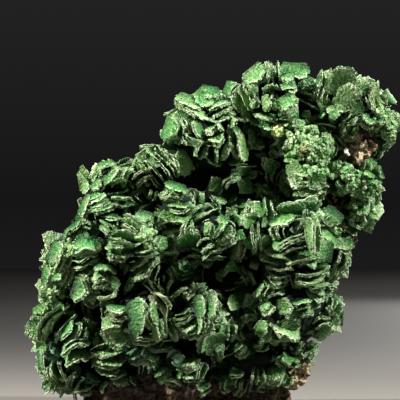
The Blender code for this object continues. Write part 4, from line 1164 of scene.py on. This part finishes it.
def on_mounds(chance):
    """Points spread over the outside of the mounds, with the way out from each."""
    places = []
    power = 1.6  # of the usual formula for an ellipsoid's area
    for centre, half in zip(mound_centres, mound_halves):
        a, b, c = half
        mean = ((a * b) ** power + (a * c) ** power + (b * c) ** power) / 3
        area = 4 * math.pi * mean ** (1 / power)
        way = chance.normal(size=(int(area * POINTS_PER_SQUARE), 3))
        way /= np.linalg.norm(way, axis=1, keepdims=True)
        places.append(centre + way * half)
    places = np.concatenate(places)
    scaled = (places[:, None, :] - mound_centres) / mound_halves
    depth = (scaled**2).sum(2)
    outside = (depth > SKIN).all(1)
    places, scaled, depth = places[outside], scaled[outside], depth[outside]
    weight = np.exp(-RUN_TOGETHER * (depth - 1))[:, :, None]
    out = (weight * scaled / mound_halves).sum(1)
    out /= np.linalg.norm(out, axis=1, keepdims=True)
    return places, out


def thinned(places, spacing_of, order):
    """Indexes of points that keep their spacing from one another."""
    kept = []
    cells = {}
    for i in order:
        spacing = spacing_of[i]
        cell = (places[i] // CELL).astype(int)
        near = []
        for step in product((-1, 0, 1), repeat=3):
            near += cells.get(tuple(cell + step), [])
        if near and (((places[near] - places[i]) ** 2).sum(1) < spacing * spacing).any():
            continue
        cells.setdefault(tuple(cell), []).append(i)
        kept.append(i)
    return kept


def clear_of_front_books(place):
    """How far a place lies from the nearest listed book, seen from the front."""
    nearest = FAR
    for x, z, run, _, across, _, leaves, _, _ in FRONT_ROWS:
        run = math.radians(run)
        east, up = place[0] - x, place[2] - z
        along = abs(east * math.cos(run) + up * math.sin(run)) - across * COVERED
        off = abs(up * math.cos(run) - east * math.sin(run)) - leaves * LEAF_PITCH * 0.5 - BOOK_MARGIN
        nearest = min(nearest, math.hypot(max(along, 0), max(off, 0)))
    return nearest


FRONT_ROWS = [row for rows in (*BOOKS.values(), *BOOKS_ON_ROCK.values()) for row in rows]
chance = np.random.default_rng(9)
places, outs = on_mounds(chance)
front_share = np.clip(-outs[:, 1] * FRONT_TURN + 0.5, 0, 1)
spacing_of = GAP_SPACING * front_share + HIDDEN_SPACING * (1 - front_share)
chosen = thinned(places, spacing_of, chance.permutation(len(places)))
piles = {name: Pile(chance) for name in ("front_low", "front_high", "side_left", "side_right")}
for i in chosen:
    place, out, share = places[i], outs[i], front_share[i]
    nearest, normal, _, _ = rock_tree.find_nearest(Vector(place * MM))
    above_rock = (Vector(place * MM) - nearest).dot(normal)
    if place[2] < LOWEST_CRYSTAL or above_rock < ROCK_CLEARANCE * MM:
        continue
    clear = clear_of_front_books(place) if share > FRONTAL else HIDDEN_CLEAR
    if clear == 0:
        continue
    sideways = unit(np.cross(out, UP))
    upward = np.cross(out, sideways)
    drift = noise.noise(Vector(place / DRIFT_WIDTH)) * DRIFT + chance.normal(0, TURN_VARIES)
    along, off = turned(sideways, upward, drift)
    growth, face = turned(out, off, chance.normal(0, LEAN_VARIES))
    across = chance.uniform(*GAP_WIDTH) * share + chance.uniform(*HIDDEN_WIDTH) * (1 - share)
    reach = across * chance.uniform(*SMALL_REACH)
    lift = GAP_LIFT * share + HIDDEN_LIFT * (1 - share) + chance.normal(0, LIFT_VARIES)
    lift += share * min(clear, HIGHEST_RISE) * RISE_WHEN_CLEAR
    root = place + growth * (lift - reach)
    if share > 0.5:
        pile = piles["front_low" if place[2] < HALF_HEIGHT else "front_high"]
    else:
        pile = piles["side_left" if place[0] < 0 else "side_right"]
    leaves = int(chance.integers(*SMALL_LEAVES))
    pile.add_book(root, along, growth, face, across, reach, leaves, SMALL_OPENING, 0.0, CHIP_STEPS)
for name, pile in piles.items():
    pile.finish("tablets_" + name, tablet)

# Floor, light and camera
# A plain grey floor under soft lamps from the upper left and right, two that light the floor behind, and a
# long lens level with the specimen. Lengths here are metres.

FLOOR_RADIUS = 2.4
LENS_DISTANCE = 1.2
FIELD = 0.080  # width of the picture at the specimen
SENSOR = 36.0  # width in millimetres
AIM = Vector((-0.002, -0.008, 0.041))
HORIZON_GLOW = (0.0080, 0.0160, 0.033)  # at the horizon, away from it, and the height at which it gets there
LAMPS = (
    # name, place, width, length where it isn't round, watts, colour, and whether it is aimed or faces down
    ("key_lamp", (-0.33, -0.08, 0.26), 0.04, None, 5.2, "#FFF8F0", True),
    ("fill_lamp", (0.28, -0.12, 0.29), 0.04, None, 3.6, "#FFFCFA", True),
    ("top_lamp", (0.08, -0.02, 0.40), 0.06, None, 0.9, "#FFFFFF", True),
    ("far_floor_lamp", (0.65, 1.55, 0.36), 0.5, None, 3.4, "#FFFFFF", False),
    ("near_floor_lamp", (0.18, 0.72, 0.08), 0.05, 1.0, 3.3, "#FFFFFF", False),
)

disc = bmesh.new()
bmesh.ops.create_circle(disc, cap_ends=True, radius=FLOOR_RADIUS, segments=96)
floor = from_rough("floor", disc)
paper, paper_shader = new_material("floor_paper")
# Matt paper, so the floor shows soft shadows and no reflections.
paper_shader.inputs["Base Color"].default_value = linear("#5E5C57")
paper_shader.inputs["Roughness"].default_value = 0.9
floor.data.materials.append(paper)

world = bpy.data.worlds.new("studio")
bpy.context.scene.world = world
world.use_nodes = True
# A dark backdrop, a little lighter away from the horizon
at_horizon, away, height = HORIZON_GLOW
direction = add_node(world, "ShaderNodeTexCoord", {}).outputs["Generated"]
_, _, rising = add_node(world, "ShaderNodeSeparateXYZ", {0: direction}).outputs
from_horizon = add_node(world, "ShaderNodeMath", {0: rising}, operation="ABSOLUTE").outputs[0]
limits = {"Value": from_horizon, "From Max": height, "To Min": at_horizon, "To Max": away}
glow = add_node(world, "ShaderNodeMapRange", limits).outputs[0]
world.node_tree.links.new(glow, world.node_tree.nodes["Background"].inputs["Color"])

for name, place, width, length, watts, lamp_colour, aimed in LAMPS:
    light = bpy.data.lights.new(name, "AREA")
    light.shape = "RECTANGLE" if length else "DISK"
    light.size = width
    light.size_y = length or width
    light.energy = watts
    light.color = linear(lamp_colour)[:3]
    lamp = new_object(name, light)
    lamp.location = place
    if aimed:
        lamp.rotation_euler = (AIM - lamp.location).to_track_quat("-Z", "Y").to_euler()
    lamp.visible_camera = False

lens = bpy.data.cameras.new("lens")
lens.sensor_width = SENSOR
lens.lens = SENSOR * LENS_DISTANCE / FIELD
lens.clip_end = 20.0
camera = new_object("camera", lens)
camera.location = AIM + Vector((0.0, -LENS_DISTANCE, 0.0))
camera.rotation_euler = (math.pi / 2, 0.0, 0.0)
bpy.context.scene.camera = camera
bpy.context.scene.view_settings.view_transform = "Standard"
